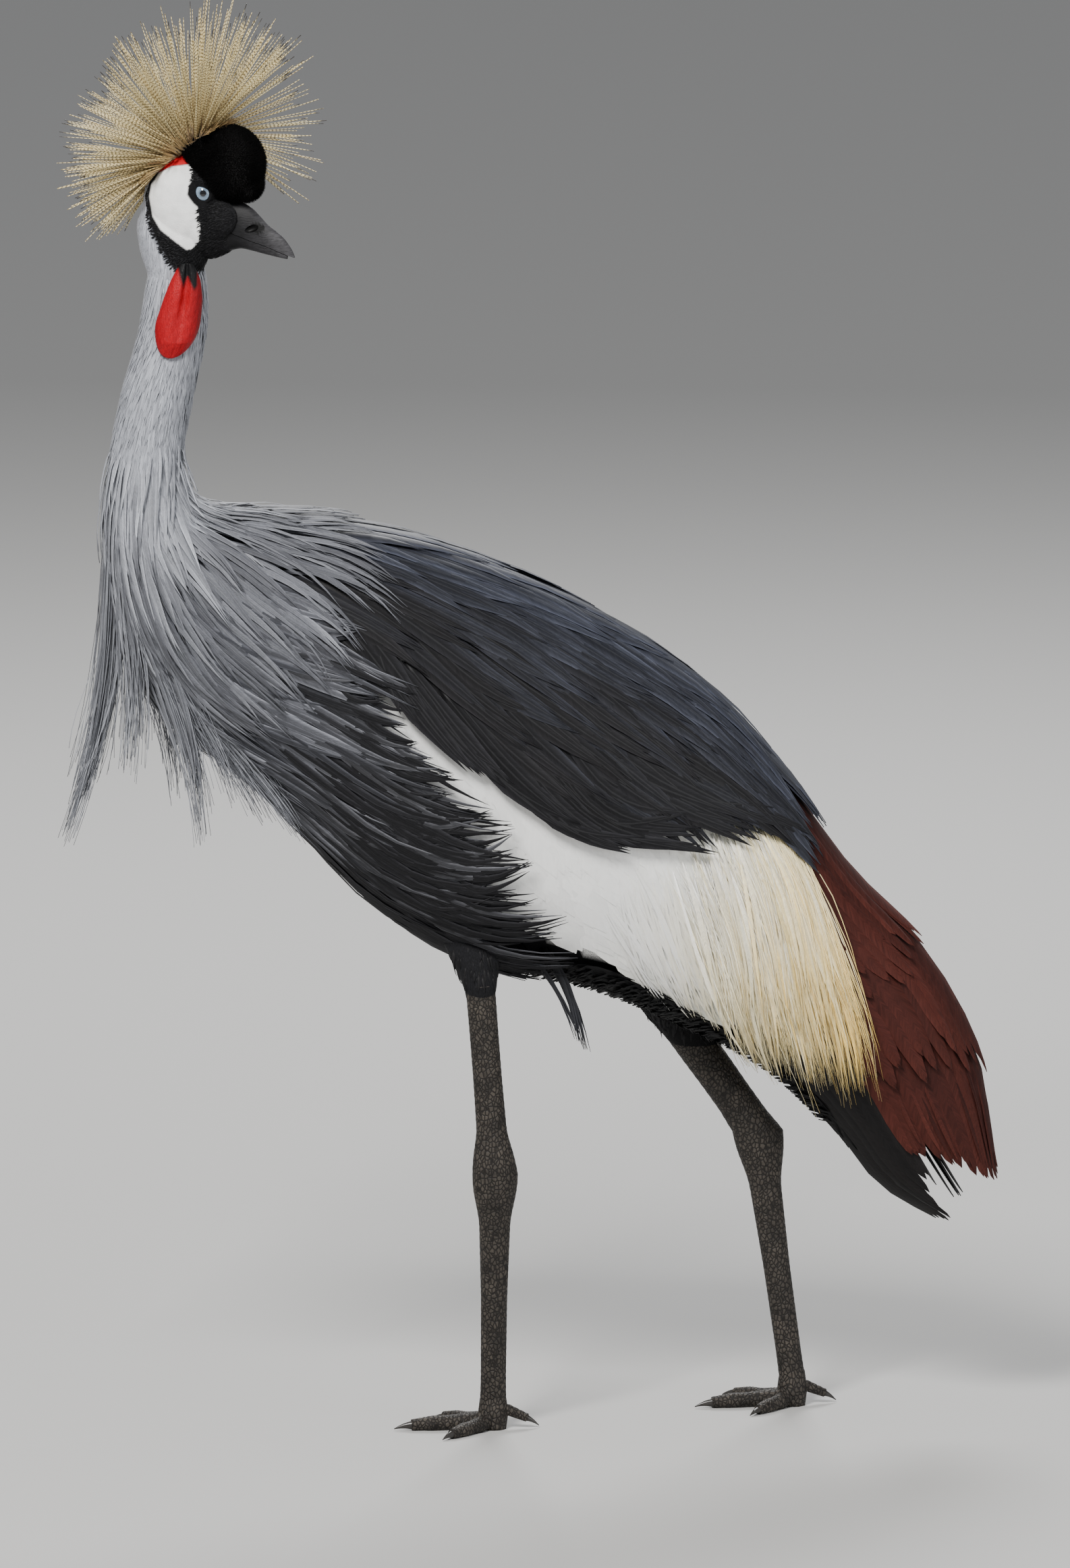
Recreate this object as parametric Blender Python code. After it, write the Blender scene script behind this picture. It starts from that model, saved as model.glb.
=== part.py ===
"""Grey crowned crane, standing, life size.

The bird stands on the floor (z = 0) and its body faces -X. +X runs towards the tail, -Y is its left side.
The head is turned back over the left shoulder. Sizes are in metres, and angles in degrees where a
name says so.

The body and neck share one outer surface, `body_surface`. A place on it is (t, theta): t counts the
stations of OUTLINE from the top of the neck to the end of the tail, and theta turns from the back (0)
over the side (90) to the belly (180). Feathers and plates are set on it at a depth: 0 is the outline,
negative is further in.
"""

import math
import random

import bmesh
import bpy
import numpy as np
from mathutils import Matrix, Vector

GAP = 0.0003
MM = 0.001
VANE_THICK = 0.0011
PLUME_STAND_OFF = 0.012

# Outline of the bird with its plumage: back line (x, z), belly line (x, z), half width.
OUTLINE = (
    ((-0.285, 1.003), (-0.338, 1.003), 0.0235),  # top of the neck
    ((-0.284, 0.955), (-0.343, 0.950), 0.0255),
    ((-0.296, 0.890), (-0.357, 0.892), 0.0290),
    ((-0.301, 0.838), (-0.367, 0.822), 0.0350),
    ((-0.284, 0.804), (-0.364, 0.735), 0.0550),  # foot of the neck
    ((-0.224, 0.795), (-0.325, 0.636), 0.0790),
    ((-0.130, 0.781), (-0.232, 0.553), 0.0940),  # shoulders
    ((-0.030, 0.746), (-0.137, 0.455), 0.1000),
    ((0.065, 0.698), (-0.040, 0.397), 0.0975),
    ((0.150, 0.637), (0.050, 0.370), 0.0915),
    ((0.220, 0.557), (0.130, 0.335), 0.0835),  # rump
    ((0.275, 0.478), (0.195, 0.298), 0.0760),
    ((0.340, 0.408), (0.245, 0.250), 0.0710),
    ((0.387, 0.318), (0.290, 0.195), 0.0640),
    ((0.402, 0.221), (0.350, 0.160), 0.0520),  # end of the tail
)
OUTLINE_ROWS = np.array([[*back, *belly, width] for back, belly, width in OUTLINE])

# The head's own frame: +X to the bill, +Y to its left, +Z up.
HEAD_ORIGIN = Vector((-0.312, 0.0, 1.000))
HEAD_TURN_DEG = -28.0

# Depths of the layers that lie over each other on the body.
SCAPULAR_SHELL = (-0.0050, -0.0025)
COVERT_SHELL = (-0.0160, -0.0125)
FLAT_DEG = 0.6

MATERIALS = {
    "skin_black": ((0.022, 0.021, 0.023), 0.65),
    "velvet_black": ((0.006, 0.006, 0.007), 0.95),
    "cheek_white": ((0.83, 0.82, 0.80), 0.6),
    "wattle_red": ((0.62, 0.035, 0.035), 0.5),
    "bill_grey": ((0.085, 0.088, 0.095), 0.45),
    "eye_blue": ((0.47, 0.56, 0.66), 0.12),
    "crest_straw": ((0.66, 0.52, 0.30), 0.6),
    "neck_grey": ((0.42, 0.44, 0.48), 0.75),
    "plume_grey": ((0.27, 0.285, 0.32), 0.7),
    "body_slate": ((0.045, 0.047, 0.055), 0.65),
    "wing_white": ((0.84, 0.83, 0.80), 0.7),
    "plume_gold": ((0.80, 0.66, 0.38), 0.65),
    "wing_chestnut": ((0.12, 0.028, 0.018), 0.6),
    "quill_black": ((0.014, 0.014, 0.016), 0.5),
    "leg_black": ((0.045, 0.040, 0.037), 0.6),
    "claw_black": ((0.02, 0.018, 0.017), 0.35),
}


# Scene, materials and closed meshes

def clear_scene():
    for old in list(bpy.data.objects):
        bpy.data.objects.remove(old)


def new_collection(name, hidden=False):
    made = bpy.data.collections.new(name)
    bpy.context.scene.collection.children.link(made)
    made.hide_render = hidden
    return made


def make_material(name):
    colour, roughness = MATERIALS[name]
    made = bpy.data.materials.new(name)
    made.use_nodes = True
    shader = made.node_tree.nodes["Principled BSDF"]
    shader.inputs["Base Color"].default_value = (*colour, 1.0)
    shader.inputs["Roughness"].default_value = roughness
    made.diffuse_color = (*colour, 1.0)
    return made


def mesh_object(name, points, faces, collection, shift=(0, 0, 0), turn_deg=0.0):
    """A closed mesh as an object. Points are baked in place after the turn about Z and the shift."""
    place = Matrix.Translation(Vector(shift)) @ Matrix.Rotation(math.radians(turn_deg), 4, "Z")
    mesh = bpy.data.meshes.new(name)
    mesh.from_pydata([place @ Vector(p) for p in points], [], [tuple(f) for f in faces])
    bm = bmesh.new()
    bm.from_mesh(mesh)
    if bm.calc_volume(signed=True) < 0:
        bmesh.ops.reverse_faces(bm, faces=bm.faces)
    bm.to_mesh(mesh)
    bm.free()
    mesh.validate()
    made = bpy.data.objects.new(name, mesh)
    collection.objects.link(made)
    return made


def ring_faces(rings, sides):
    """Triangles of a closed loft over rings of equal length, mirrored left to right, with flat caps."""
    faces = []
    for row in range(rings - 1):
        for i in range(sides):
            a, b = row * sides + i, row * sides + (i + 1) % sides
            c, d = a + sides, b + sides
            faces += [(a, b, d), (a, d, c)] if i < sides // 2 else [(a, b, c), (b, d, c)]
    faces.append(tuple(range(sides))[::-1])
    faces.append(tuple(range((rings - 1) * sides, rings * sides)))
    return faces


def loft(name, rings, collection, **place):
    """A closed solid through rings of points, each a list of the same length."""
    points = [p for ring in rings for p in ring]
    return mesh_object(name, points, ring_faces(len(rings), len(rings[0])), collection, **place)


def largest_closed(bm):
    """Keeps only the closed surface that holds most, so sealed hollows and loose scraps go."""
    seen, groups = set(), []
    for start in bm.faces:
        if start in seen:
            continue
        group, queue = [], [start]
        seen.add(start)
        while queue:
            face = queue.pop()
            group.append(face)
            for edge in face.edges:
                for near in edge.link_faces:
                    if near not in seen:
                        seen.add(near)
                        queue.append(near)
        groups.append(group)

    def volume(group):
        total = 0.0
        for face in group:
            corners = [v.co for v in face.verts]
            for i in range(1, len(corners) - 1):
                total += corners[0].dot(corners[i].cross(corners[i + 1])) / 6
        return total

    best = max(groups, key=volume)
    keep = set(best)
    bmesh.ops.delete(bm, geom=[f for f in bm.faces if f not in keep], context="FACES")
    loose = [v for v in bm.verts if not v.link_faces]
    bmesh.ops.delete(bm, geom=loose, context="VERTS")


def boolean(base, others, operation):
    """One Boolean of a base with several closed meshes, applied. The others are removed."""
    if not others:
        return base
    pieces = bpy.data.collections.new("pieces")
    bpy.context.scene.collection.children.link(pieces)
    for other in others:
        for home in list(other.users_collection):
            home.objects.unlink(other)
        pieces.objects.link(other)
    modifier = base.modifiers.new("join", "BOOLEAN")
    modifier.operation = operation
    modifier.operand_type = "COLLECTION"
    modifier.collection = pieces
    modifier.solver = "MANIFOLD"
    graph = bpy.context.evaluated_depsgraph_get()
    made = bpy.data.meshes.new_from_object(base.evaluated_get(graph))
    base.modifiers.remove(modifier)
    base.data = made
    for other in others:
        bpy.data.objects.remove(other)
    bpy.data.collections.remove(pieces)
    bm = bmesh.new()
    bm.from_mesh(made)
    bmesh.ops.dissolve_limit(bm, angle_limit=math.radians(FLAT_DEG), verts=bm.verts, edges=bm.edges)
    bmesh.ops.triangulate(bm, faces=bm.faces)
    largest_closed(bm)
    bm.to_mesh(made)
    bm.free()
    return base


# The body's outer surface

def smooth_row(t):
    """The outline at station t, by a cubic through the stations, carried on straight past both ends."""
    t = np.asarray(t, float)
    last = len(OUTLINE_ROWS) - 1
    i = np.clip(np.floor(t).astype(int), 0, last - 1)
    s = (t - i)[..., None]
    before = OUTLINE_ROWS[np.maximum(i - 1, 0)]
    here, after = OUTLINE_ROWS[i], OUTLINE_ROWS[i + 1]
    beyond = OUTLINE_ROWS[np.minimum(i + 2, last)]
    slope_in, slope_out = (after - before) / 2, (beyond - here) / 2
    inside = np.clip(s, 0, 1)
    curve = (
        (2 * inside**3 - 3 * inside**2 + 1) * here
        + (inside**3 - 2 * inside**2 + inside) * slope_in
        + (-2 * inside**3 + 3 * inside**2) * after
        + (inside**3 - inside**2) * slope_out
    )
    return curve + np.where(s > 1, (s - 1) * slope_out, 0) + np.where(s < 0, s * slope_in, 0)


def body_surface(t, theta_deg, side):
    """Points of the outline surface. side is -1 for the bird's left (-Y) and 1 for its right."""
    row = smooth_row(t)
    angle = np.radians(theta_deg)
    back, belly, width = row[..., 0:2], row[..., 2:4], row[..., 4]
    middle, arm = (back + belly) / 2, (back - belly) / 2
    flat = middle + arm * np.cos(angle)[..., None]
    return np.stack([flat[..., 0], side * width * np.sin(angle), flat[..., 1]], axis=-1)


def body_place(t, theta_deg, depth, side):
    """(points at that depth, outward normals) at places on the body."""
    t, theta_deg = np.broadcast_arrays(np.asarray(t, float), np.asarray(theta_deg, float))
    step = 0.02
    along = body_surface(t + step, theta_deg, side) - body_surface(t - step, theta_deg, side)
    around = body_surface(t, theta_deg + 1, side) - body_surface(t, theta_deg - 1, side)
    normal = np.cross(along, around) * side
    normal /= np.linalg.norm(normal, axis=-1, keepdims=True)
    return body_surface(t, theta_deg, side) + normal * np.asarray(depth)[..., None], normal


def body_ring(t, sides, depth=0.0, shrink=1.0):
    """One closed ring round the body, from the back down the left side and up the right."""
    ring = []
    for i in range(sides):
        theta = 360.0 * i / sides
        side = -1 if theta <= 180 else 1
        turned = theta if theta <= 180 else 360 - theta
        ring.append(body_place(t, turned, depth, side)[0])
    ring = np.array(ring)
    middle = ring.mean(axis=0)
    return [tuple(p) for p in middle + (ring - middle) * shrink]


def shell(name, ts, low_deg, high_deg, inner, outer, side, collection, across=9):
    """A curved plate on the body between two depths. low_deg and high_deg are functions of t."""
    layers = []
    for depth in (inner, outer):
        for t in ts:
            thetas = np.linspace(low_deg(t), high_deg(t), across)
            layers.append(body_place(np.full(across, t), thetas, np.full(across, depth), side)[0])
    rows = len(ts)
    points = np.concatenate(layers)

    def index(layer, row, column):
        return (layer * rows + row) * across + column

    faces = []
    for row in range(rows - 1):
        for column in range(across - 1):
            for layer in (0, 1):
                a, b = index(layer, row, column), index(layer, row, column + 1)
                c, d = index(layer, row + 1, column), index(layer, row + 1, column + 1)
                pair = [(a, b, d), (a, d, c)]
                faces += pair if layer else [f[::-1] for f in pair]
    border = [(0, column) for column in range(across)]
    border += [(row, across - 1) for row in range(1, rows)]
    border += [(rows - 1, column) for column in range(across - 2, -1, -1)]
    border += [(row, 0) for row in range(rows - 2, 0, -1)]
    for here, after in zip(border, border[1:] + border[:1]):
        a, b = index(0, *here), index(0, *after)
        c, d = index(1, *here), index(1, *after)
        faces += [(a, b, d), (a, d, c)]
    return mesh_object(name, points, faces, collection)


# Feathers

def vane_widths(shares, foot=0.40, widest=0.45, taper=0.75):
    """Half widths of a lance-shaped feather, as shares of its widest. Shares run from root to tip."""
    rise = foot + (1 - foot) * np.clip(shares / widest, 0, 1)
    fall = np.clip((1 - shares) / (1 - widest), 0, 1) ** taper
    return np.minimum(rise, fall)


def vane(path, normals, half_width, collection, thick=VANE_THICK, **shape):
    """A flat tapered feather along a path, closed, its two faces cut alike. It ends in a point."""
    path, normals = np.asarray(path, float), np.asarray(normals, float)
    along = np.gradient(path, axis=0)
    along /= np.linalg.norm(along, axis=1, keepdims=True)
    across = np.cross(normals, along)
    across /= np.linalg.norm(across, axis=1, keepdims=True)
    up = np.cross(along, across)
    widths = (half_width * vane_widths(np.linspace(0, 1, len(path)), **shape))[:, None]
    lift = up * thick / 2
    points = []
    for i in range(len(path) - 1):
        left, right = path[i] - across[i] * widths[i], path[i] + across[i] * widths[i]
        points += [left + lift[i], right + lift[i], right - lift[i], left - lift[i]]
    points.append(path[-1])
    tip, faces = len(points) - 1, [(0, 1, 2, 3)]
    for i in range(len(path) - 2):
        a, b = 4 * i, 4 * i + 4
        faces += [(a, b, b + 1), (a, b + 1, a + 1)]
        faces += [(a + 3, b + 2, b + 3), (a + 3, a + 2, b + 2)]
        faces += [(a + 1, b + 1, b + 2), (a + 1, b + 2, a + 2)]
        faces += [(a + 3, b + 3, b), (a + 3, b, a)]
    a = 4 * (len(path) - 2)
    faces += [(a, tip, a + 1), (a + 1, tip, a + 2), (a + 2, tip, a + 3), (a + 3, tip, a)]
    return mesh_object("vane", points, faces, collection)


def vane_on_body(root, tip, depths, half_width, side, collection, bow=0.0, steps=5, **shape):
    """A feather that follows the body from root (t, theta) to tip (t, theta). bow bends it round, in degrees.

    depths is a list of (share of the way, depth)."""
    shares = np.linspace(0, 1, steps + 1)
    ts = root[0] + (tip[0] - root[0]) * shares
    thetas = root[1] + (tip[1] - root[1]) * shares + bow * np.sin(np.pi * shares)
    points, normals = body_place(ts, thetas, np.interp(shares, *zip(*depths)), side)
    return vane(points, normals, half_width, collection, **shape)


def hanging_vane(root, length, lean, half_width, side, collection, steps=5, **shape):
    """A plume that leaves the neck's foot at (t, theta), is held off the breast, and hangs straight down."""
    start, facing = body_place(root[0], root[1], -0.004, side)
    out = np.array([facing[0], facing[1], 0.0])
    out /= np.linalg.norm(out)
    shares = np.linspace(0, 1, steps + 1)[:, None]
    reach = PLUME_STAND_OFF * np.clip(shares / 0.3, 0, 1) ** 0.7 + lean * shares**2
    path = start + out * reach + np.array([0, 0, -length]) * shares
    return vane(path, np.tile(out, (steps + 1, 1)), half_width, collection, **shape)


def raised(depths, step, i):
    """Depths that lift every second feather clear of its neighbours, beyond its root."""
    return [depths[0], *((share, depth + step * (i % 2)) for share, depth in depths[1:])]


def varied(rng, value, spread):
    return value + rng.uniform(-spread, spread)


# Head and neck

# Skull from back to front: distance forward, top, bottom, half width, all in mm.
SKULL = (
    (-20.5, 70, 54, 6),
    (-16, 85, 43, 14.5),
    (-6, 97, 34, 21.5),
    (8, 103, 28, 24.5),
    (22, 102, 21, 24.0),
    (35, 94, 15, 20.0),
    (45, 81, 17.5, 15.0),
    (54, 68.5, 22, 11.0),
)
# Throat from the neck up: height, middle, half length, half width, in mm.
THROAT = (
    (3.3, 1.4, 26.0, 23.0),
    (16, 4.0, 31.0, 22.5),
    (30, 3.5, 31.0, 23.5),
    (44, 2.0, 29.0, 23.0),
    (62, 3.0, 22.0, 18.0),
)
MOUTH_LINE = (
    (41, 46.5), (54.3, 39.8), (61.4, 37.0), (73.7, 32.4), (86.3, 28.3), (104.9, 20.8), (110.5, 18.6),
)
# Upper bill: distance forward, culmen, half width; the mouth line is its lower edge. In mm.
BILL_TOP = (
    (54.3, 67.5, 10.6),
    (64, 66.0, 9.4),
    (72.6, 64.0, 8.2),
    (79.7, 55.6, 7.0),
    (86.3, 47.0, 6.0),
    (94.7, 40.3, 5.0),
    (101.4, 34.6, 3.9),
    (107.6, 26.0, 2.5),
    (110.4, 20.6, 1.0),
)
BILL_UNDER = (
    (54.3, 22.6, 10.2),
    (63.5, 24.6, 8.8),
    (73.7, 23.1, 7.2),
    (84.5, 20.8, 5.6),
    (94.7, 18.9, 4.2),
    (104.0, 17.6, 2.4),
)
EYE = Vector((34.0, 12.6, 72.9)) * MM
EYE_RADIUS = 8.6 * MM
LID_RADIUS = 8.0 * MM
NOSTRIL = Vector((75.0, 7.0, 43.2)) * MM
CAP_MAIN = ((53, 0, 96.5), (30.5, 27, 32.5))
CAP_BACK = ((33, 0, 106), (20, 21, 18))
CREST_BACK = Vector((-11.0, 0, 87.0)) * MM
CREST_FRONT = Vector((37.0, 0, 126.0)) * MM
BRISTLE_RADIUS = 0.95 * MM
FAR_BRISTLES = 12
WATTLE_TOP, WATTLE_LENGTH, WATTLE_WIDTH, WATTLE_THICK = 1.0125, 0.0800, 0.0390, 0.0085


def in_head(name, points, faces, collection):
    return mesh_object(name, points, faces, collection, shift=HEAD_ORIGIN, turn_deg=HEAD_TURN_DEG)


def blob(name, centre, radii, collection, tilt_deg=0.0, rings=8, sides=10):
    """An ellipsoid in the head's frame, from a sphere. tilt_deg raises its front."""
    bm = bmesh.new()
    bmesh.ops.create_uvsphere(bm, u_segments=sides, v_segments=rings, radius=1.0)
    turn = Matrix.Rotation(math.radians(-tilt_deg), 3, "Y")
    points = [turn @ Vector([a * b for a, b in zip(v.co, radii)]) + Vector(centre) for v in bm.verts]
    faces = [[v.index for v in f.verts] for f in bm.faces]
    bm.free()
    return in_head(name, points, faces, collection)


def skull_rings(grow, sides=16):
    rings = []
    for x, top, bottom, half in SKULL:
        middle, tall = (top + bottom) / 2, (top - bottom) / 2
        ends = {SKULL[0][0]: -grow, SKULL[-1][0]: grow}
        ring = []
        for i in range(sides):
            angle = math.tau * i / sides
            y = (half * MM + grow) * math.sin(angle)
            z = middle * MM + (tall * MM + grow) * math.cos(angle)
            ring.append((x * MM + ends.get(x, 0.0), y, z))
        rings.append(ring)
    return rings


def throat_rings(grow, sides=16):
    rings = []
    for z, middle, long_half, half in THROAT:
        ring = []
        for i in range(sides):
            angle = math.tau * i / sides
            x = middle * MM + (long_half * MM + grow) * math.cos(angle)
            ring.append((x, (half * MM + grow) * math.sin(angle), z * MM))
        rings.append(ring)
    return rings


def head_form(name, collection, grow=0.0):
    """Skull and throat as one closed form, without its cuts."""
    place = {"shift": HEAD_ORIGIN, "turn_deg": HEAD_TURN_DEG}
    skull = loft(name, skull_rings(grow), collection, **place)
    throat = loft("throat", throat_rings(grow), collection, **place)
    return boolean(skull, [throat], "UNION")


def mouth_at(x):
    return float(np.interp(x, [p[0] for p in MOUTH_LINE], [p[1] for p in MOUTH_LINE]))


def mouth_slit(collection):
    """The thin cut that is the line of the closed mouth, from its corner forward."""
    rings = []
    for x in (41, 45, 50, 56):
        middle = mouth_at(x) * MM
        low, high = middle - GAP, middle + GAP
        rings.append([(x * MM, -0.03, low), (x * MM, 0.03, low), (x * MM, 0.03, high), (x * MM, -0.03, high)])
    return loft("slit", rings, collection, shift=HEAD_ORIGIN, turn_deg=HEAD_TURN_DEG)


def make_head(parts):
    head = head_form("head", parts)
    boolean(head, lid_forms(parts), "UNION")
    return boolean(head, [mouth_slit(parts), *sockets(parts)], "DIFFERENCE")


def eye_centre(side):
    return Vector((EYE.x, side * EYE.y, EYE.z))


def sockets(collection):
    return [blob("socket", eye_centre(side), [EYE_RADIUS + GAP] * 3, collection) for side in (-1, 1)]


def lid_forms(collection, grow=0.0):
    """The raised rims of both eyes."""
    centres = [(EYE.x, side * (EYE.y + 5.2 * MM), EYE.z) for side in (-1, 1)]
    radii = [r + grow for r in (LID_RADIUS + 1.6 * MM, 3.2 * MM, LID_RADIUS + 1.2 * MM)]
    return [blob("lid", centre, radii, collection) for centre in centres]


def make_eyes(parts):
    for name, side in (("eye_left", 1), ("eye_right", -1)):
        blob(name, eye_centre(side), [EYE_RADIUS] * 3, parts)


def dome_ring(x, edge, crown, half, points=9):
    """A cross-section that is flat along the mouth line and domed away from it."""
    ring = []
    for i in range(points):
        angle = math.pi * i / (points - 1)
        height = edge + (crown * MM - edge) * math.sin(angle) ** 0.8
        ring.append((x * MM, half * MM * math.cos(angle), height))
    return ring


def make_bill(parts):
    place = {"shift": HEAD_ORIGIN, "turn_deg": HEAD_TURN_DEG}
    upper_rings = [dome_ring(x, mouth_at(x) * MM + GAP / 2, top, half) for x, top, half in BILL_TOP]
    under_rings = [dome_ring(x, mouth_at(x) * MM - GAP / 2, low, half) for x, low, half in BILL_UNDER]
    upper = loft("bill_upper", upper_rings, parts, **place)
    under = loft("bill_lower", under_rings, parts, **place)
    holes = [
        blob("nostril", (NOSTRIL.x, side * NOSTRIL.y, NOSTRIL.z), (6.5 * MM, 3.2 * MM, 2.8 * MM), parts, -24)
        for side in (-1, 1)
    ]
    boolean(upper, holes, "DIFFERENCE")
    return [upper, under]


def cap_form(name, collection, grow=0.0):
    main, back = [
        blob(part, [c * MM for c in centre], [r * MM + grow for r in radii], collection, rings=8, sides=14)
        for part, (centre, radii) in ((name, CAP_MAIN), ("back", CAP_BACK))
    ]
    return boolean(main, [back], "UNION")


def bill_form(collection):
    """The bill with its gap round it, to cut what lies over its base."""
    place = {"shift": HEAD_ORIGIN, "turn_deg": HEAD_TURN_DEG}
    grow = GAP / MM
    rings = [dome_ring(x, mouth_at(x) * MM - GAP, top + grow, half + grow) for x, top, half in BILL_TOP]
    rings[0] = [(p[0] - 2 * GAP, p[1], p[2]) for p in rings[0]]
    return loft("bill_room", rings, collection, **place)


def make_cap(parts):
    cap = cap_form("velvet_cap", parts)
    rooms = [head_form("room", parts, GAP), bill_form(parts), *lid_forms(parts, GAP), *sockets(parts)]
    return boolean(cap, rooms, "DIFFERENCE")


def crest_pad(name, collection):
    """The low ridge over the crown from which the bristles fan out."""
    middle, arm = (CREST_BACK + CREST_FRONT) / 2, CREST_FRONT - CREST_BACK
    tilt = math.degrees(math.atan2(arm.z, arm.x))
    return blob(name, middle, (arm.length / 2, 15 * MM, 7.5 * MM), collection, tilt, rings=8, sides=12)


def bristle(start, heading, length, collection):
    """A thin three-sided spine, bent a little down by its weight, ending in a point."""
    heading = heading.normalized()
    beside = heading.cross(Vector((0.2, 0.3, 1))).normalized()
    over = beside.cross(heading)
    points = []
    for share, radius in ((0.0, BRISTLE_RADIUS), (0.62, BRISTLE_RADIUS * 0.72)):
        middle = start + heading * length * share
        for k in range(3):
            angle = math.tau * k / 3
            points.append(middle + beside * (radius * math.cos(angle)) + over * (radius * math.sin(angle)))
    points.append(start + heading * length + Vector((0, 0, -0.02 * length)))
    faces = [(0, 1, 2), (3, 6, 4), (4, 6, 5), (5, 6, 3)]
    for k in range(3):
        after = (k + 1) % 3
        faces += [(k, k + 3, after), (after, k + 3, after + 3)]
    return in_head("bristle", points, faces, collection)


def crest_length(turn_deg):
    """Length of a bristle by its angle in the profile, measured up from straight ahead."""
    return float(np.interp(turn_deg, (0, 35, 80, 107, 138, 193, 233), (92, 112, 127, 122, 107, 91, 80))) * MM


def make_crest(parts):
    rng = random.Random(7)
    crest = crest_pad("crest", parts)
    spines = []
    for row, lean_deg in enumerate((-46, -31, -16, 0, 16, 31, 46)):
        count = 19 - abs(row - 3)
        for turn in np.linspace(232, 26 + abs(lean_deg) * 0.5, count):
            turn_deg = varied(rng, float(turn), 4)
            lean = math.radians(varied(rng, lean_deg, 6))
            turn_rad = math.radians(turn_deg)
            flat = Vector((math.cos(turn_rad), 0, math.sin(turn_rad)))
            heading = flat * math.cos(lean) + Vector((0, math.sin(lean), 0))
            share = min(1.0, max(0.0, (238 - turn_deg) / 205)) * 0.86 + 0.07
            start = CREST_BACK.lerp(CREST_FRONT, share) + Vector((0, 13 * MM * lean, -1.5 * MM))
            spines.append(bristle(start, heading, crest_length(turn_deg) * rng.uniform(0.86, 1.03), parts))
    for _ in range(FAR_BRISTLES):
        turn = math.radians(rng.uniform(-42, 28))
        lean = math.radians(rng.uniform(30, 52))
        heading = Vector((math.cos(turn) * math.cos(lean), math.sin(lean), math.sin(turn) * math.cos(lean)))
        start = CREST_BACK.lerp(CREST_FRONT, rng.uniform(0.72, 0.9)) + Vector((0, 9 * MM, -2 * MM))
        spines.append(bristle(start, heading, rng.uniform(88, 108) * MM, parts))
    boolean(crest, spines, "UNION")
    rooms = [head_form("room", parts, GAP), cap_form("cap_room", parts, GAP)]
    return boolean(crest, rooms, "DIFFERENCE")


def wattle_ring(share, sides=14):
    """A level section of the wattle: two lobes side by side with a fold between, widest low down."""
    half = WATTLE_WIDTH / 2 * (0.40 + 0.60 * math.sin(math.pi * min(1, 0.12 + share * 0.62)) ** 0.9)
    if share > 0.7:
        half *= math.sqrt(max(0.02, 1 - ((share - 0.7) / 0.31) ** 2))
    thick = WATTLE_THICK * (0.55 + 0.45 * min(1, share * 3)) * min(1, (1.03 - share) * 5)
    height = WATTLE_TOP - WATTLE_LENGTH * share
    middle = (smooth_row(max(0.0, (1.003 - height) / 0.052))[[0, 2]]).mean()
    out = 0.0245 + 0.0035 * share
    ring = []
    for i in range(sides):
        angle = math.tau * i / sides
        across = half * math.cos(angle)
        fold = 0.45 * math.exp(-((across / (0.22 * half)) ** 2)) if math.sin(angle) > 0 else 0.0
        forward = out + thick * math.sin(angle) * (1 - fold) - across**2 * 9
        ring.append((middle + across, -forward, height))
    return ring


def make_wattle(parts):
    wattle = loft("wattle", [wattle_ring(s) for s in np.linspace(0, 1, 11)], parts)
    rooms = [neck_piece("room", 0, 2.4, 6, parts, GAP), head_form("room2", parts, GAP)]
    return boolean(wattle, rooms, "DIFFERENCE")


def neck_piece(name, first, last, rings, collection, grow=0.0, sides=20):
    ts = np.linspace(first, last, rings)
    return loft(name, [body_ring(t, sides, grow) for t in ts], collection)


# Neck plumes: theta at the root, theta and station of the tip, half width in mm.
NECK_PLUMES = (
    (7, 8, 6.45, 7.5),
    (23, 22, 6.35, 9),
    (40, 38, 6.25, 9),
    (56, 54, 6.15, 9),
    (72, 70, 6.0, 9),
    (87, 86, 5.95, 9),
    (102, 102, 5.9, 9),
    (116, 118, 5.9, 8.5),
    (130, 134, 5.85, 8),
)
UPPER_PLUMES = ((16, 5.0), (40, 5.05), (64, 5.0), (88, 4.9), (112, 4.8))
# Plumes that hang free in front: theta, station, length, half width in mm, lean outward.
FRONT_PLUMES = (
    (138, 4.15, 0.215, 7.5, -0.004),
    (151, 3.95, 0.245, 8.0, 0.000),
    (164, 3.70, 0.270, 8.0, 0.014),
    (177, 3.50, 0.285, 8.0, 0.024),
    (164, 3.05, 0.215, 7.0, 0.022),
)


def make_neck_base(parts):
    rng = random.Random(3)
    base = neck_piece("neck_lower", NECK_CUTS[1] + JOINT_T, NECK_CUTS[2], 6, parts)
    plumes = []
    for side in (-1, 1):
        for i, (theta, end_theta, end_t, width) in enumerate(NECK_PLUMES):
            start = (varied(rng, 3.75, 0.12), theta)
            tip = (varied(rng, end_t, 0.10), varied(rng, end_theta, 2.0))
            lift = 0.0025 if theta > 90 else 0.0
            depths = ((0, -0.0040), (0.2, 0.0016 + lift), (0.6, 0.0046 + lift), (1, 0.0060 + lift))
            depths = raised(depths, SHINGLE, i)
            plumes.append(vane_on_body(start, tip, depths, width * MM, side, parts, steps=4, foot=0.34))
        for theta, end_t in UPPER_PLUMES:
            start = (varied(rng, 3.12, 0.05), theta)
            depths = ((0, -0.0035), (0.2, 0.0030), (0.6, 0.0085), (1, 0.0100))
            end = (end_t, theta)
            plumes.append(vane_on_body(start, end, depths, 6.5 * MM, side, parts, steps=4, foot=0.34))
        for theta, t, length, width, lean in FRONT_PLUMES:
            plumes.append(hanging_vane((t, theta), varied(rng, length, 0.012), lean, width * MM, side, parts))
    return boolean(base, plumes, "UNION")


# Body, wings and tail

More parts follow.
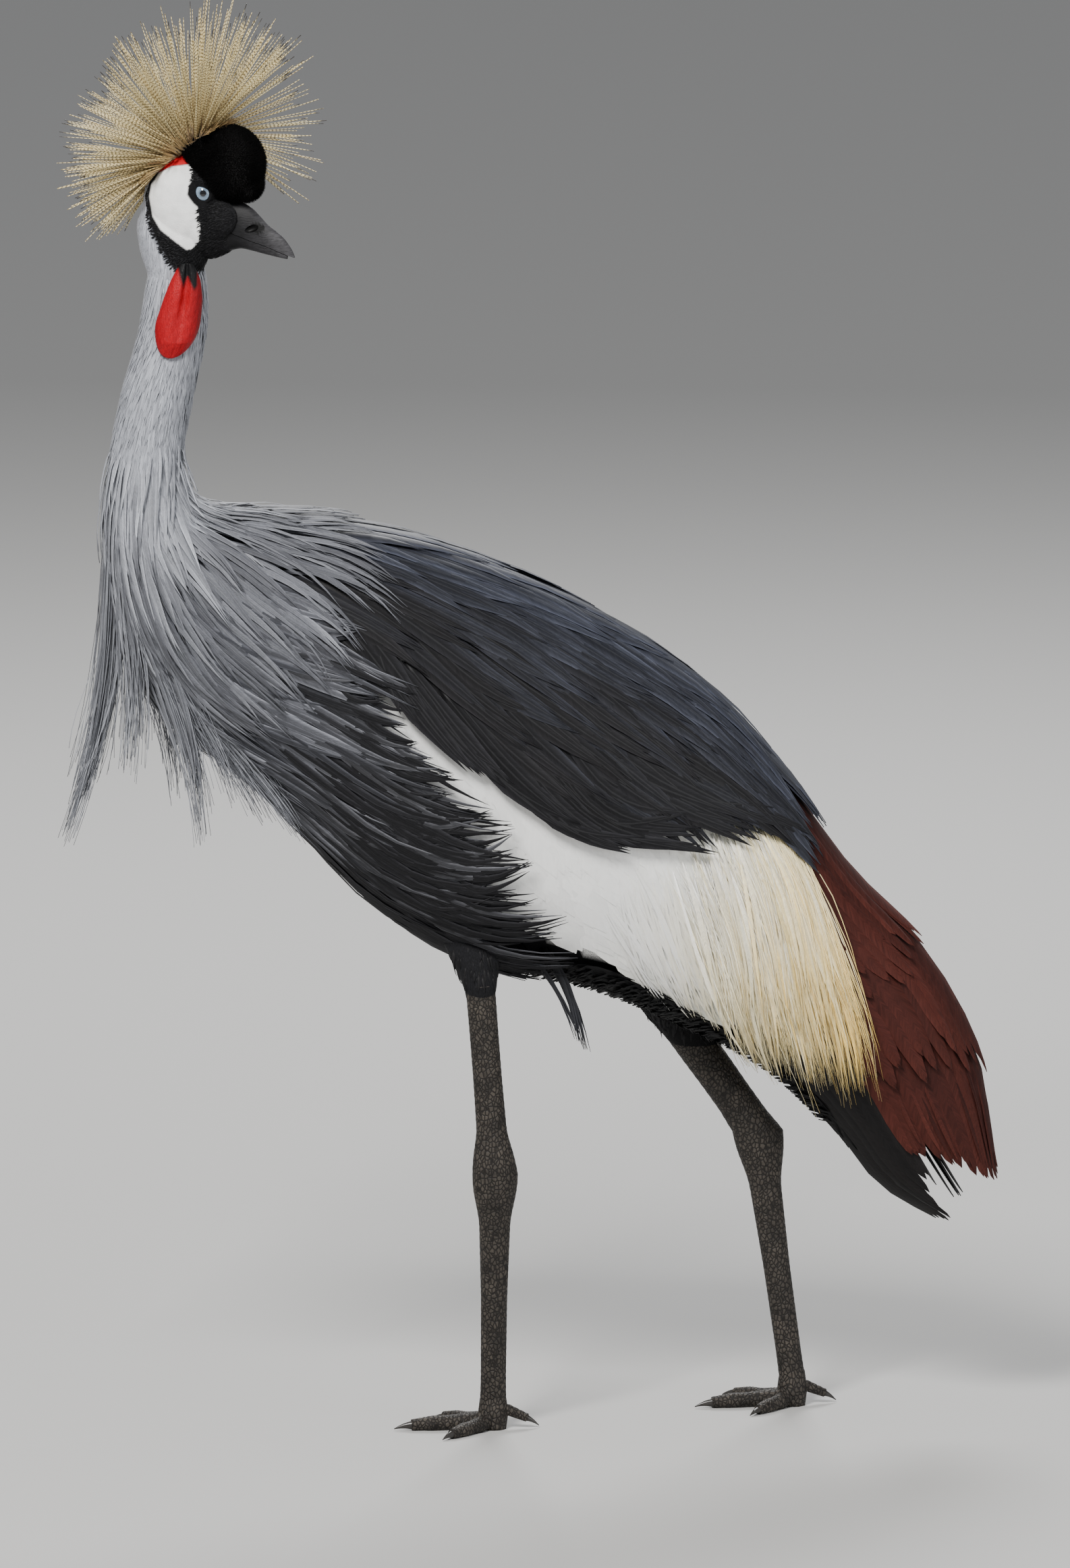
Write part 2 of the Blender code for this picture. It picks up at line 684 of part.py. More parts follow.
JOINT_T = 0.006
NECK_CUTS = (1.6, 2.9, 4.6)
WING_START, TORSO_END = 5.9, 10.1
PLATE_ROWS = (WING_START, 6.2, 6.6, 7.2, 7.9, 8.6, 9.3, TORSO_END)
REAR_ROWS = (10.16, 10.5, 10.85, 11.2)
REAR_SEAM = 100.0
TAIL_FEATHERS = 8

# Lower edges, as theta at stations t: of the dark shoulder feathers, and of the white ones under them.
SCAPULAR_EDGE = ((5.9, 6.2, 6.6, 7.8, 8.4, 9.1, 9.5, 10.1), (48, 68, 82, 90, 92, 84, 70, 44))
COVERT_EDGE = ((5.9, 6.5, 7.4, 8.3, 9.2, 10.1), (104, 122, 136, 142, 152, 162))
BACK_STRIP = 3.0
COVERT_TOP = 24.0
SCAPULAR_BED = -0.0064
COVERT_BED = COVERT_SHELL[0] - GAP
# The body's side under the wing's lower edge, which the white feathers hang over.
BELLY_DROP = -0.0138


def edge_at(edge, inset=0.0):
    return lambda t: float(np.interp(t, *edge)) - inset


def torso_columns(t, bedded):
    """(theta, depth) round one side of the torso. Where wings lie, it steps in to make their beds."""
    upper, under = (SCAPULAR_BED, COVERT_BED) if bedded else (0.0, 0.0)
    edge = edge_at(COVERT_EDGE)(t)
    columns = [(0, 0), (BACK_STRIP - 0.6, 0), (BACK_STRIP, upper), (13, upper), (COVERT_TOP - 0.6, upper)]
    columns += [(theta, under) for theta in np.linspace(COVERT_TOP, edge, 9)]
    drop = BELLY_DROP * float(np.clip((t - WING_START) / 0.5, 0, 1))
    below = 179.4 - edge
    return columns + [(edge + 0.6 + below * share, drop * (1 - share)) for share in (0, 0.33, 0.67, 1)]


def both_sides(t, columns, grow=0.0):
    ring = [tuple(body_place(t, theta, depth + grow, -1)[0]) for theta, depth in columns]
    return ring + [tuple(body_place(t, theta, depth + grow, 1)[0]) for theta, depth in columns[-2:0:-1]]


def torso_form(name, collection, bedded=True, grow=0.0):
    rows = [(t, False) for t in (NECK_CUTS[2] + JOINT_T, 5.0, 5.45, WING_START - 0.009)]
    rows += [(t, bedded) for t in (WING_START - 0.004, *PLATE_ROWS, TORSO_END + 0.01)]
    rings = [both_sides(t, torso_columns(t, beds), grow) for t, beds in rows]
    return loft(name, rings, collection)


# Breast and flank plumes: station and theta of the root, station and theta of the tip, half width in mm.
FLANK_PLUMES = (
    (5.30, 90, 6.75, 97, 8.0),
    (5.35, 99, 7.20, 106, 8.5),
    (5.30, 109, 7.75, 113, 9.0),
    (5.25, 119, 8.15, 121, 9.0),
    (5.20, 131, 8.35, 132, 9.0),
    (5.15, 144, 7.20, 145, 9.0),
    (5.08, 158, 7.15, 158, 9.0),
    (5.00, 172, 7.10, 171, 9.0),
)
# Pointed tuft that hangs behind the near thigh: station of each root, and tip as (x, y, z).
THIGH_TUFT = ((8.25, (0.020, -0.052, 0.350)), (8.50, (0.037, -0.050, 0.336)), (8.80, (0.050, -0.046, 0.347)))
FLANK_DEPTHS = ((0, -0.0035), (0.17, 0.0012), (0.5, -0.0010), (1, -0.0035))


def make_torso(parts):
    rng = random.Random(5)
    torso = torso_form("torso", parts)
    plumes = []
    for side in (-1, 1):
        for i, (start_t, start_theta, end_t, end_theta, width) in enumerate(FLANK_PLUMES):
            start, tip = (varied(rng, start_t, 0.05), start_theta), (varied(rng, end_t, 0.08), end_theta)
            lift = 0.0045 * float(np.clip((start_theta - 140) / 32, 0, 1))
            depths = [(share, depth + lift * share) for share, depth in raised(FLANK_DEPTHS, -0.0008, i)]
            plumes.append(vane_on_body(start, tip, depths, width * MM, side, parts, steps=4, foot=0.34))
    for station, tip in THIGH_TUFT:
        start, facing = body_place(station, 150, -0.018, -1)
        shares = np.linspace(0, 1, 5)[:, None]
        path = start + (np.array(tip) - start) * shares
        plumes.append(vane(path, np.tile(facing, (5, 1)), 8 * MM, parts, foot=0.5))
    return boolean(torso, plumes, "UNION")


def covert_plate(name, collection, side, outer=COVERT_SHELL[1]):
    low, high = edge_at(((0, 1), (COVERT_TOP + 0.3,) * 2)), edge_at(COVERT_EDGE, 0.3)
    return shell(name, PLATE_ROWS, low, high, COVERT_SHELL[0], outer, side, collection)


def scapular_plate(name, collection, side, outer=SCAPULAR_SHELL[1]):
    low, high = edge_at(((0, 1), (BACK_STRIP + 0.3,) * 2)), edge_at(SCAPULAR_EDGE)
    return shell(name, PLATE_ROWS, low, high, SCAPULAR_SHELL[0], outer, side, collection, 7)


def rear_plate(name, collection, side, low, high, rows=REAR_ROWS, outer=COVERT_SHELL[1]):
    return shell(name, rows, lambda t: low, lambda t: high, COVERT_SHELL[0], outer, side, collection, 7)


# Dark shoulder feathers in tiers: station of the roots, station of the tips, (theta of root, theta of tip).
SCAPULARS = (
    (6.00, 7.50, ((12, 20), (27, 38), (42, 57), (56, 74), (64, 90))),
    (6.95, 8.55, ((12, 18), (27, 36), (42, 56), (58, 77), (74, 97))),
    (7.90, 9.50, ((12, 17), (26, 33), (41, 50), (56, 68), (72, 86))),
    (8.80, 10.35, ((15, 20), (29, 32), (42, 42))),
)
SHINGLE = 0.0016
SCAPULAR_DEPTHS = ((0, -0.0037), (0.25, -0.0009), (1, 0.0012))
COVERT_DEPTHS = ((0, -0.0140), (0.25, -0.0112), (1, -0.0100))
PLUME_SHELL = (-0.0120, -0.0090)
PLUME_ROWS = (9.3, 9.57, 9.83, 10.1)
GOLD_PLUMES = 12
PLUME_DEPTHS = ((0, -0.0102), (0.2, -0.0055), (0.5, -0.0010), (1, 0.0035))
REAR_DEPTHS = ((0, -0.0142), (0.17, -0.0110), (0.6, -0.0080), (1, -0.0060))
REAR_UPPER_DEPTHS = ((0, -0.0140), (0.2, -0.0095), (0.6, -0.0055), (1, -0.0030))
# Chestnut feathers: theta of root, theta and station of tip. The upper tier lies over the lower.
SECONDARIES = (
    (13, 24, 14.20), (27, 41, 14.15), (42, 59, 13.9), (57, 77, 13.65), (73, 97, 13.35), (89, 117, 12.95),
)
UPPER_SECONDARIES = ((19, 30, 13.1), (35, 49, 13.0), (51, 68, 12.8), (68, 88, 12.5), (84, 107, 12.1))
PRIMARIES = ((108, 121, 13.25), (122, 132, 13.6), (136, 143, 13.85), (150, 154, 13.9), (163, 165, 13.8))


def make_scapulars(name, side, rng, parts):
    plate = scapular_plate(name, parts, side)
    vanes = []
    for start_t, end_t, lines in SCAPULARS:
        for i, (start_theta, end_theta) in enumerate(lines):
            start, tip = (start_t, start_theta), (varied(rng, end_t, 0.08), varied(rng, end_theta, 1.0))
            depths = raised(SCAPULAR_DEPTHS, SHINGLE, i)
            vanes.append(vane_on_body(start, tip, depths, 15 * MM, side, parts, steps=3))
    return boolean(plate, vanes, "UNION")


def make_coverts(name, side, rng, parts):
    plate = covert_plate(name, parts, side)
    low_edge = edge_at(COVERT_EDGE)
    vanes = []
    for i, start_t in enumerate(np.linspace(6.6, 8.4, 5)):
        tip = (start_t + varied(rng, 0.55, 0.04), 114 + 2.5 * (start_t - 6))
        depths = raised(COVERT_DEPTHS, SHINGLE, i)
        vanes.append(vane_on_body((start_t, 72), tip, depths, 20 * MM, side, parts, steps=3))
    for i, start_t in enumerate(np.linspace(6.5, 9.8, 8)):
        tip_t = start_t + varied(rng, 0.45, 0.04)
        tip = (tip_t, low_edge(tip_t) + 3)
        start = (start_t, low_edge(start_t) - 36)
        depths = raised(COVERT_DEPTHS, SHINGLE, i)
        vanes.append(vane_on_body(start, tip, depths, 20 * MM, side, parts, steps=3))
    return boolean(plate, vanes, "UNION")


def make_plumes(name, side, rng, parts):
    """Straw-coloured plumes that hang over the hind end of the wing."""
    plate = shell(name, PLUME_ROWS, lambda t: 46.0, lambda t: 96.0, *PLUME_SHELL, side, parts, 5)
    vanes = []
    for i in range(GOLD_PLUMES):
        share = i / (GOLD_PLUMES - 1)
        start = (9.40 + 0.60 * share, 90 - 38 * share)
        tip = (varied(rng, 10.75 + 1.2 * share, 0.12), varied(rng, 164 - 56 * share, 3))
        depths = raised(PLUME_DEPTHS, SHINGLE, i)
        vanes.append(vane_on_body(start, tip, depths, 6 * MM, side, parts, steps=4, foot=0.3))
    return boolean(plate, vanes, "UNION")


def make_secondaries(name, side, rng, parts):
    plate = rear_plate(name, parts, side, BACK_STRIP, REAR_SEAM - 0.3)
    vanes = []
    for i, (start_theta, end_theta, end_t) in enumerate(SECONDARIES):
        start, tip = (10.62, start_theta), (varied(rng, end_t, 0.05), end_theta)
        depths = raised(REAR_DEPTHS, SHINGLE, i)
        vanes.append(vane_on_body(start, tip, depths, 12.5 * MM, side, parts, steps=4, widest=0.6))
    for i, (start_theta, end_theta, end_t) in enumerate(UPPER_SECONDARIES):
        start, tip = (10.28, start_theta), (varied(rng, end_t, 0.05), end_theta)
        depths = raised(REAR_UPPER_DEPTHS, SHINGLE, i)
        vanes.append(vane_on_body(start, tip, depths, 12 * MM, side, parts, steps=4, widest=0.6))
    return boolean(plate, vanes, "UNION")


def make_primaries(name, side, rng, parts):
    plate = rear_plate(name, parts, side, REAR_SEAM + 0.3, 172)
    vanes = []
    for i, (start_theta, end_theta, end_t) in enumerate(PRIMARIES):
        start, tip = (10.45, start_theta), (varied(rng, end_t, 0.04), end_theta)
        depths = raised(REAR_DEPTHS, SHINGLE, i)
        vanes.append(vane_on_body(start, tip, depths, 10 * MM, side, parts, steps=4, widest=0.6))
    return boolean(plate, vanes, "UNION")


def make_wing(side, parts):
    end = "left" if side < 0 else "right"
    rng = random.Random(11)
    make_scapulars("scapulars_" + end, side, rng, parts)
    make_coverts("coverts_" + end, side, rng, parts)
    make_plumes("plumes_" + end, side, rng, parts)
    make_secondaries("secondaries_" + end, side, rng, parts)
    make_primaries("primaries_" + end, side, rng, parts)


def rump_form(name, collection):
    """The rump, which the rear plates of the wings lie on, drawn in to the root of the tail."""
    columns = [(0, 0), *[(theta, 0) for theta in np.linspace(3, REAR_SEAM, 7)], (136, 0), (172, 0), (180, 0)]
    rings = []
    for t, share in zip((*REAR_ROWS, 11.6, 12.1), (1, 1, 1, 1, 0.72, 0.42)):
        ring = np.array(both_sides(t, columns, COVERT_BED))
        middle = ring.mean(axis=0)
        rings.append([tuple(p) for p in middle + (ring - middle) * share])
    return loft(name, rings, collection)


def inside_point(t, across, down):
    """A point inside the body: across is out from its middle, down is towards the belly, in metres."""
    row = smooth_row(t)
    back, belly = row[0:2], row[2:4]
    middle = (back + belly) / 2 + (belly - back) / np.linalg.norm(belly - back) * down
    return np.array([middle[0], across, middle[1]])


def make_tail(parts):
    rump = rump_form("tail", parts)
    vanes = []
    for i in range(TAIL_FEATHERS):
        spread = 2 * i / (TAIL_FEATHERS - 1) - 1
        path = []
        for share in np.linspace(0, 1, 5):
            across = spread * (0.012 + 0.020 * share)
            down = 0.010 + 0.012 * spread**2 + 0.0035 * (i % 2) - 0.004 * share
            path.append(inside_point(11.7 + (2.25 - 0.25 * abs(spread)) * share, across, down))
        row = smooth_row(12.8)
        up = np.array([row[0] - row[2], 0.0, row[1] - row[3]])
        facing = np.tile(up / np.linalg.norm(up), (5, 1))
        vanes.append(vane(path, facing, 9 * MM, parts, foot=0.6, widest=0.7))
    return boolean(rump, vanes, "UNION")


# Legs. For each: path of the leg as (x, y, z), from inside the body to the floor.

LEGS = {
    "left": (
        (-0.038, -0.034, 0.438), (-0.060, -0.046, 0.386), (-0.041, -0.038, 0.226), (-0.037, -0.005, 0.024),
    ),
    "right": (
        (0.104, 0.030, 0.384), (0.146, 0.046, 0.318), (0.201, 0.048, 0.230), (0.232, 0.052, 0.024),
    ),
}
# Half length and half width of a thigh's sections, from hip to knee.
THIGH_SIZES = [(0.036, 0.021), (0.031, 0.019), (0.021, 0.016), (0.0145, 0.0125)]
TOE_TURN_DEG = {"left": 178.0, "right": 182.0}
# Front toes and the raised hind toe: name, angle from straight ahead, length, thickness at the root.
TOES = (
    ("inner", -44, 0.052, 0.0130), ("middle", 0, 0.070, 0.0145), ("outer", 45, 0.058, 0.0130),
    ("hind", 176, 0.021, 0.0095),
)
CLAW_LENGTH = {"inner": 0.013, "middle": 0.015, "outer": 0.013, "hind": 0.011}


def tube(name, path, sizes, collection, sides=12, floor=False, level=False):
    """A closed limb along a path. sizes are (half length fore and aft, half width) at each point.

    floor flattens what would pass below z = 0, and level makes every section horizontal."""
    path = [Vector(p) for p in path]
    rings = []
    for i, (point, (fore, wide)) in enumerate(zip(path, sizes)):
        along = (path[min(i + 1, len(path) - 1)] - path[max(i - 1, 0)]).normalized()
        along = Vector((0, 0, -1)) if level else along
        across = along.cross(Vector((0, 1, 0)) if abs(along.y) < 0.7 else Vector((0, 0, 1))).normalized()
        beside = across.cross(along).normalized()
        ring = []
        for k in range(sides):
            angle = math.tau * k / sides
            p = point + across * (fore * math.cos(angle)) + beside * (wide * math.sin(angle))
            ring.append((p.x, p.y, max(p.z, 0.0) if floor else p.z))
        rings.append(ring)
    return loft(name, rings, collection)


def between(a, b, share):
    return Vector(a).lerp(Vector(b), share)


def wing_room(end, collection):
    """The space that the white feathers' tips take, past the lower edge of their plate."""
    low, high = edge_at(COVERT_EDGE, 20.0), edge_at(COVERT_EDGE, -6.0)
    return shell("room", PLATE_ROWS, low, high, COVERT_BED, 0.002, -1 if end == "left" else 1, collection, 5)


def make_leg(end, parts):
    hip, knee, ankle, heel = [Vector(p) for p in LEGS[end]]
    thigh_path = [hip, between(hip, knee, 0.45), between(hip, knee, 0.8), knee]
    thigh = tube("thigh_" + end, thigh_path, THIGH_SIZES, parts, level=True)
    rear_room = neck_piece("room", TORSO_END, 12.0, 6, parts, GAP * 2, 32)
    boolean(thigh, [torso_form("room", parts, False, GAP), rear_room, wing_room(end, parts)], "DIFFERENCE")
    top = knee - Vector((0, 0, GAP))
    shank_path = [top, between(top, ankle, 0.25), between(top, ankle, 0.78), between(top, ankle, 0.9), ankle]
    shank_sizes = [(0.0125, 0.0105), (0.0115, 0.0095), (0.0125, 0.0100), (0.0165, 0.0125), (0.0190, 0.0135)]
    tube("shank_" + end, shank_path, shank_sizes, parts, level=True)
    start = ankle - Vector((0, 0, GAP))
    tarsus_path = [start] + [between(start, heel, share) for share in (0.08, 0.2, 0.6)] + [heel]
    tarsus_sizes = [(0.0190, 0.0135), (0.0175, 0.0130), (0.0130, 0.0105), (0.0110, 0.0090), (0.0105, 0.0095)]
    tube("tarsus_" + end, tarsus_path, tarsus_sizes, parts, level=True)
    make_foot(end, heel, parts)


def toe_path(heel, name, angle_deg, length, thick):
    heading = math.radians(angle_deg)
    ahead = Vector((math.cos(heading), math.sin(heading), 0))
    base = Vector((heel.x, heel.y, 0.0))
    if name == "hind":
        return [base + Vector((0, 0, 0.015)), base + ahead * 0.012 + Vector((0, 0, 0.016)),
                base + ahead * (0.008 + length) + Vector((0, 0, 0.0085))]
    low = thick * 0.40
    shares = (0.0, 0.20, 0.40, 0.54, 0.74, 0.86, 1.0)
    drop = (0.0095, 0.0070, low, low, low * 0.92, low * 0.9, low * 0.8)
    return [base + ahead * (length * s) + Vector((0, 0, z)) for s, z in zip(shares, drop)]


def make_foot(end, heel, parts):
    ball = [heel - Vector((0, 0, GAP)), Vector((heel.x, heel.y, 0.014)), Vector((heel.x, heel.y, 0.0))]
    foot = tube("foot_" + end, ball, [(0.0105, 0.0095), (0.0135, 0.0130), (0.0110, 0.0110)], parts,
                level=True)
    toes = []
    for name, angle, length, thick in TOES:
        turn = TOE_TURN_DEG[end] + angle * (1 if end == "left" else -1)
        path = toe_path(heel, name, turn, length, thick)
        if name == "hind":
            sizes = [(thick * 0.55, thick * 0.5), (thick * 0.5, thick * 0.5), (thick * 0.36, thick * 0.36)]
        else:
            bulges = (0.55, 0.50, 0.52, 0.43, 0.47, 0.38, 0.32)
            sizes = [(thick * b, thick * b) for b in bulges]
        toes.append(tube("toe", path, sizes, parts, 6, floor=True))
        make_claw(end, name, path, sizes[-1][0], parts)
    return boolean(foot, toes, "UNION")


def make_claw(end, name, path, thick, parts):
    ahead = (path[-1] - path[-2]).normalized()
    start = path[-1] + ahead * GAP
    length = CLAW_LENGTH[name]
    claw_path, sizes = [], []
    for share in (0.0, 0.2, 0.6, 1.0):
        point = start + ahead * length * share
        point.z -= 0.0030 * max(0.0, share - 0.2) ** 2
        size = max(0.0005, thick * 0.82 * (1 - share * 0.85))
        claw_path.append(point)
        sizes.append((size, size * 0.8))
    return tube(f"claw_{name}_{end}", claw_path, sizes, parts, 6, floor=True)


# Everything, with each node's material

NODE_MATERIALS = (
    ("head", "skin_black"), ("bill", "bill_grey"), ("velvet_cap", "velvet_black"), ("eye", "eye_blue"),
    ("crest", "crest_straw"), ("wattle", "wattle_red"), ("neck", "neck_grey"), ("torso", "body_slate"),
    ("scapulars", "body_slate"), ("coverts", "wing_white"), ("plumes", "plume_gold"),
    ("secondaries", "wing_chestnut"), ("primaries", "quill_black"), ("tail", "quill_black"),
    ("thigh", "body_slate"), ("shank", "leg_black"), ("tarsus", "leg_black"), ("foot", "leg_black"),
    ("claw", "claw_black"),
)


def main():
    clear_scene()
    parts = new_collection("grey_crowned_crane")
    make_head(parts)
    make_eyes(parts)
    make_bill(parts)
    make_cap(parts)
    make_crest(parts)
    make_wattle(parts)
    neck_piece("neck_upper", 0, NECK_CUTS[0], 4, parts)
    neck_piece("neck_middle", NECK_CUTS[0] + JOINT_T, NECK_CUTS[1], 4, parts)
    make_neck_base(parts)
    make_torso(parts)
    make_tail(parts)
    for side in (-1, 1):
        make_wing(side, parts)
    for end in LEGS:
        make_leg(end, parts)
    materials = {name: make_material(name) for name in MATERIALS}
    for node in parts.objects:
        kind = next(material for start, material in NODE_MATERIALS if node.name.startswith(start))
        node.data.materials.clear()
        node.data.materials.append(materials[kind])
        node.data.shade_smooth()
        node.data.set_sharp_from_angle(angle=math.radians(35))


main()
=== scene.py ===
# %% [markdown]
# # A life-size grey crowned crane
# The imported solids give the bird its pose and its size. This lesson dresses them: a skin, about
# nine thousand feathers laid over it in the order in which they grow, and a head with its velvet
# cushion, bristle crest, bare cheek and wattle. Every feather is a thin closed mesh, because the
# exported model keeps meshes and drops hair. All sizes are in metres, and the bird faces -X.

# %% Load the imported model
import math
import random

import bmesh
import bpy
import numpy as np
from mathutils import Matrix, Vector


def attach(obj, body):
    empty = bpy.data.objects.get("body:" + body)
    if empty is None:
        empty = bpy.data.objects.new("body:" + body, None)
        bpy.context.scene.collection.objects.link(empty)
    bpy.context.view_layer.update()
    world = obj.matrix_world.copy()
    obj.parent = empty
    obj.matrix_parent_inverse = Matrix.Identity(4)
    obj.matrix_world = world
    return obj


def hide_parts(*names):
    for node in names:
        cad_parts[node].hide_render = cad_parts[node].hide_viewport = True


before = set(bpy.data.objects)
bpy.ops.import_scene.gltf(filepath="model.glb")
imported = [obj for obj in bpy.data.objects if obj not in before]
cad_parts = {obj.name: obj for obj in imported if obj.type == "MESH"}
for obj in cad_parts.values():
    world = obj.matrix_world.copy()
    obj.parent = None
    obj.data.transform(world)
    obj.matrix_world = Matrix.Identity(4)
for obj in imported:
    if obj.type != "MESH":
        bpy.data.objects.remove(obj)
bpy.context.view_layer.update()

MM = 0.001
LEFT, RIGHT = -1, 1  # the bird's left is -Y, towards the camera

# %% [markdown]
# ## The outline of the bird
# A bird with its plumage on is a smooth hull. Fifteen stations run from the top of the neck to the
# end of the tail, and each has a point on the back, a point on the belly and a half width. A cubic
# curve joins them, so any place on the hull is named by two numbers: its station t and its angle
# theta, 0 at the back and 180 at the belly. Feathers are laid out in these two numbers.

# %% The hull
OUTLINE = (
    ((-0.281, 1.003), (-0.332, 1.003), 0.0235),  # top of the neck
    ((-0.280, 0.955), (-0.340, 0.950), 0.0255),
    ((-0.293, 0.890), (-0.356, 0.892), 0.0290),
    ((-0.301, 0.838), (-0.367, 0.822), 0.0350),
    ((-0.284, 0.804), (-0.364, 0.735), 0.0550),  # foot of the neck
    ((-0.224, 0.795), (-0.325, 0.636), 0.0790),
    ((-0.130, 0.781), (-0.232, 0.553), 0.0940),  # shoulders
    ((-0.030, 0.746), (-0.137, 0.455), 0.1000),
    ((0.065, 0.698), (-0.040, 0.397), 0.0975),
    ((0.150, 0.637), (0.050, 0.370), 0.0915),
    ((0.220, 0.557), (0.130, 0.335), 0.0835),  # rump
    ((0.275, 0.478), (0.195, 0.298), 0.0760),
    ((0.340, 0.408), (0.245, 0.250), 0.0710),
    ((0.387, 0.318), (0.290, 0.195), 0.0640),
    ((0.402, 0.221), (0.350, 0.160), 0.0520),  # end of the tail
)
HULL_ROWS = np.array([[*back, *belly, width] for back, belly, width in OUTLINE])


def hull_row(t):
    """Back, belly and half width at station t, by a cubic, carried on straight past both ends."""
    t = np.asarray(t, float)
    last = len(HULL_ROWS) - 1
    i = np.clip(np.floor(t).astype(int), 0, last - 1)
    s = (t - i)[..., None]
    here, after = HULL_ROWS[i], HULL_ROWS[i + 1]
    slope_in = (after - HULL_ROWS[np.maximum(i - 1, 0)]) / 2
    slope_out = (HULL_ROWS[np.minimum(i + 2, last)] - here) / 2
    k = np.clip(s, 0, 1)
    curve = (2 * k**3 - 3 * k**2 + 1) * here + (k**3 - 2 * k**2 + k) * slope_in
    curve += (3 * k**2 - 2 * k**3) * after + (k**3 - k**2) * slope_out
    return curve + np.where(s > 1, (s - 1) * slope_out, 0) + np.where(s < 0, s * slope_in, 0)


def hull(t, theta, side):
    """Points of the hull."""
    row = hull_row(t)
    angle = np.radians(theta)
    back, belly, width = row[..., 0:2], row[..., 2:4], row[..., 4]
    flat = (back + belly) / 2 + (back - belly) / 2 * np.cos(angle)[..., None]
    return np.stack([flat[..., 0], side * width * np.sin(angle), flat[..., 1]], axis=-1)


def unit(vectors):
    return vectors / np.maximum(np.linalg.norm(vectors, axis=-1, keepdims=True), 1e-12)


def on_hull(t, theta, depth, side):
    """(points, outward normals) at a depth from the hull; a positive depth stands off it."""
    t, theta, depth, side = np.broadcast_arrays(*[np.asarray(v, float) for v in (t, theta, depth, side)])
    along = hull(t + 0.02, theta, side) - hull(t - 0.02, theta, side)
    around = hull(t, theta + 1, side) - hull(t, theta - 1, side)
    normal = unit(np.cross(along, around) * side[..., None])
    return hull(t, theta, side) + normal * depth[..., None], normal


def metres_per_station(t, theta, side):
    return np.linalg.norm(hull(t + 0.05, theta, side) - hull(t - 0.05, theta, side), axis=-1) / 0.1


def metres_per_degree(t, theta, side):
    return np.linalg.norm(hull(t, theta + 1, side) - hull(t, theta - 1, side), axis=-1) / 2


print("hull from neck to tail, in stations:", len(OUTLINE))

# %% [markdown]
# ## The edges of the wing
# On the folded wing, dark shoulder feathers lie over white ones, and the white ones end in a clean
# line above the belly. Both lower edges are written as theta at a few stations, as they were in
# the solids, so that feathers, skin and solids agree.

# %% Wing edges, and the depth of the skin
SHOULDER_EDGE = ((5.9, 6.2, 6.6, 7.8, 8.4, 9.1, 9.5, 10.1), (48, 68, 82, 90, 92, 84, 70, 44))
WHITE_EDGE = ((5.9, 6.5, 7.4, 8.3, 9.2, 10.1), (104, 122, 136, 142, 152, 162))


def edge(line, t):
    return np.interp(t, *line)


def skin_depth(t, theta):
    """How far the skin lies below the hull: little on the neck, more under the folded wings."""
    plain = np.interp(t, (0, 2.6, 4.2, 5.4, 14), (-0.0030, -0.0045, -0.0085, -0.0090, -0.0090))
    winged = np.clip((t - 5.5) / 0.5, 0, 1)
    below = np.clip((theta - edge(WHITE_EDGE, t)) / np.maximum(180 - edge(WHITE_EDGE, t), 1), 0, 1)
    under_wing = -0.0195 * (1 - below) - 0.0065 * below
    return plain * (1 - winged) + under_wing * winged


# %% [markdown]
# ## Colours
# A grey crowned crane is pale bluish grey on the neck, silver on the long plumes at its foot, slate
# on the back, white on the wing with straw-coloured plumes at its end, chestnut behind and black
# on the tail. The values are linear, as Blender's shaders take them.

# %% The palette
NECK_GREY = (0.250, 0.260, 0.290)
SILVER = (0.50, 0.52, 0.575)
PLUME_SLATE = (0.042, 0.044, 0.053)
FLANK_SLATE = (0.0090, 0.0090, 0.0105)
# slate of the upper back, with a painted bluish reflection of the sky in it
SKYLIT_BACK_SLATE = (0.014, 0.0152, 0.0215)
NEAR_BLACK = (0.0042, 0.0042, 0.0047)
WHITE = (0.90, 0.90, 0.88)
CREAM = (0.92, 0.83, 0.54)
STRAW = (0.87, 0.62, 0.18)
CHESTNUT = (0.050, 0.0118, 0.0086)
CHESTNUT_DARK = (0.018, 0.0046, 0.0038)


def blend(a, b, share):
    """A mix of colours; share may be an array."""
    share = np.asarray(share, float)[..., None]
    return np.asarray(a, float) * (1 - share) + np.asarray(b, float) * share


def markings(t, theta):
    """The plumage colour at a place on the body, for the skin and for its short feathers."""
    grey = blend(NECK_GREY, PLUME_SLATE, np.clip((t - 3.4) / 1.4, 0, 1))
    colour = blend(grey, FLANK_SLATE, np.clip((t - 4.8) / 1.2, 0, 1))
    colour = blend(colour, NEAR_BLACK, np.clip((t - 7.6) / 1.6, 0, 1))
    white = (t > 6.0) & (t < 10.4) & (theta > edge(SHOULDER_EDGE, t) - 8) & (theta < edge(WHITE_EDGE, t))
    colour = np.where(white[..., None], WHITE, colour)
    brown = (t > 10.3) & (theta < 108)
    return np.where(brown[..., None], CHESTNUT_DARK, colour)


print("colour of the neck:", markings(np.array([1.0]), np.array([90.0])).round(3).tolist())

# %% [markdown]
# ## Small helpers for materials
# Each material is a little tree of nodes. These helpers add a node and link what it is given, so
# that a recipe reads as one line per step. A value that is the same all over a surface is set on
# the shader's own socket, because the export reads it there.

# %% Node helpers
def new_material(name, roughness, **sockets):
    material = bpy.data.materials.new(name)
    material.use_nodes = True
    tree = material.node_tree
    shader = tree.nodes["Principled BSDF"]
    shader.inputs["Roughness"].default_value = roughness
    for socket, value in sockets.items():
        shader.inputs[socket.replace("_", " ")].default_value = value
    return material, tree, shader


def feed(tree, socket, value):
    if isinstance(value, bpy.types.NodeSocket):
        tree.links.new(value, socket)
    elif value is not None:
        socket.default_value = value


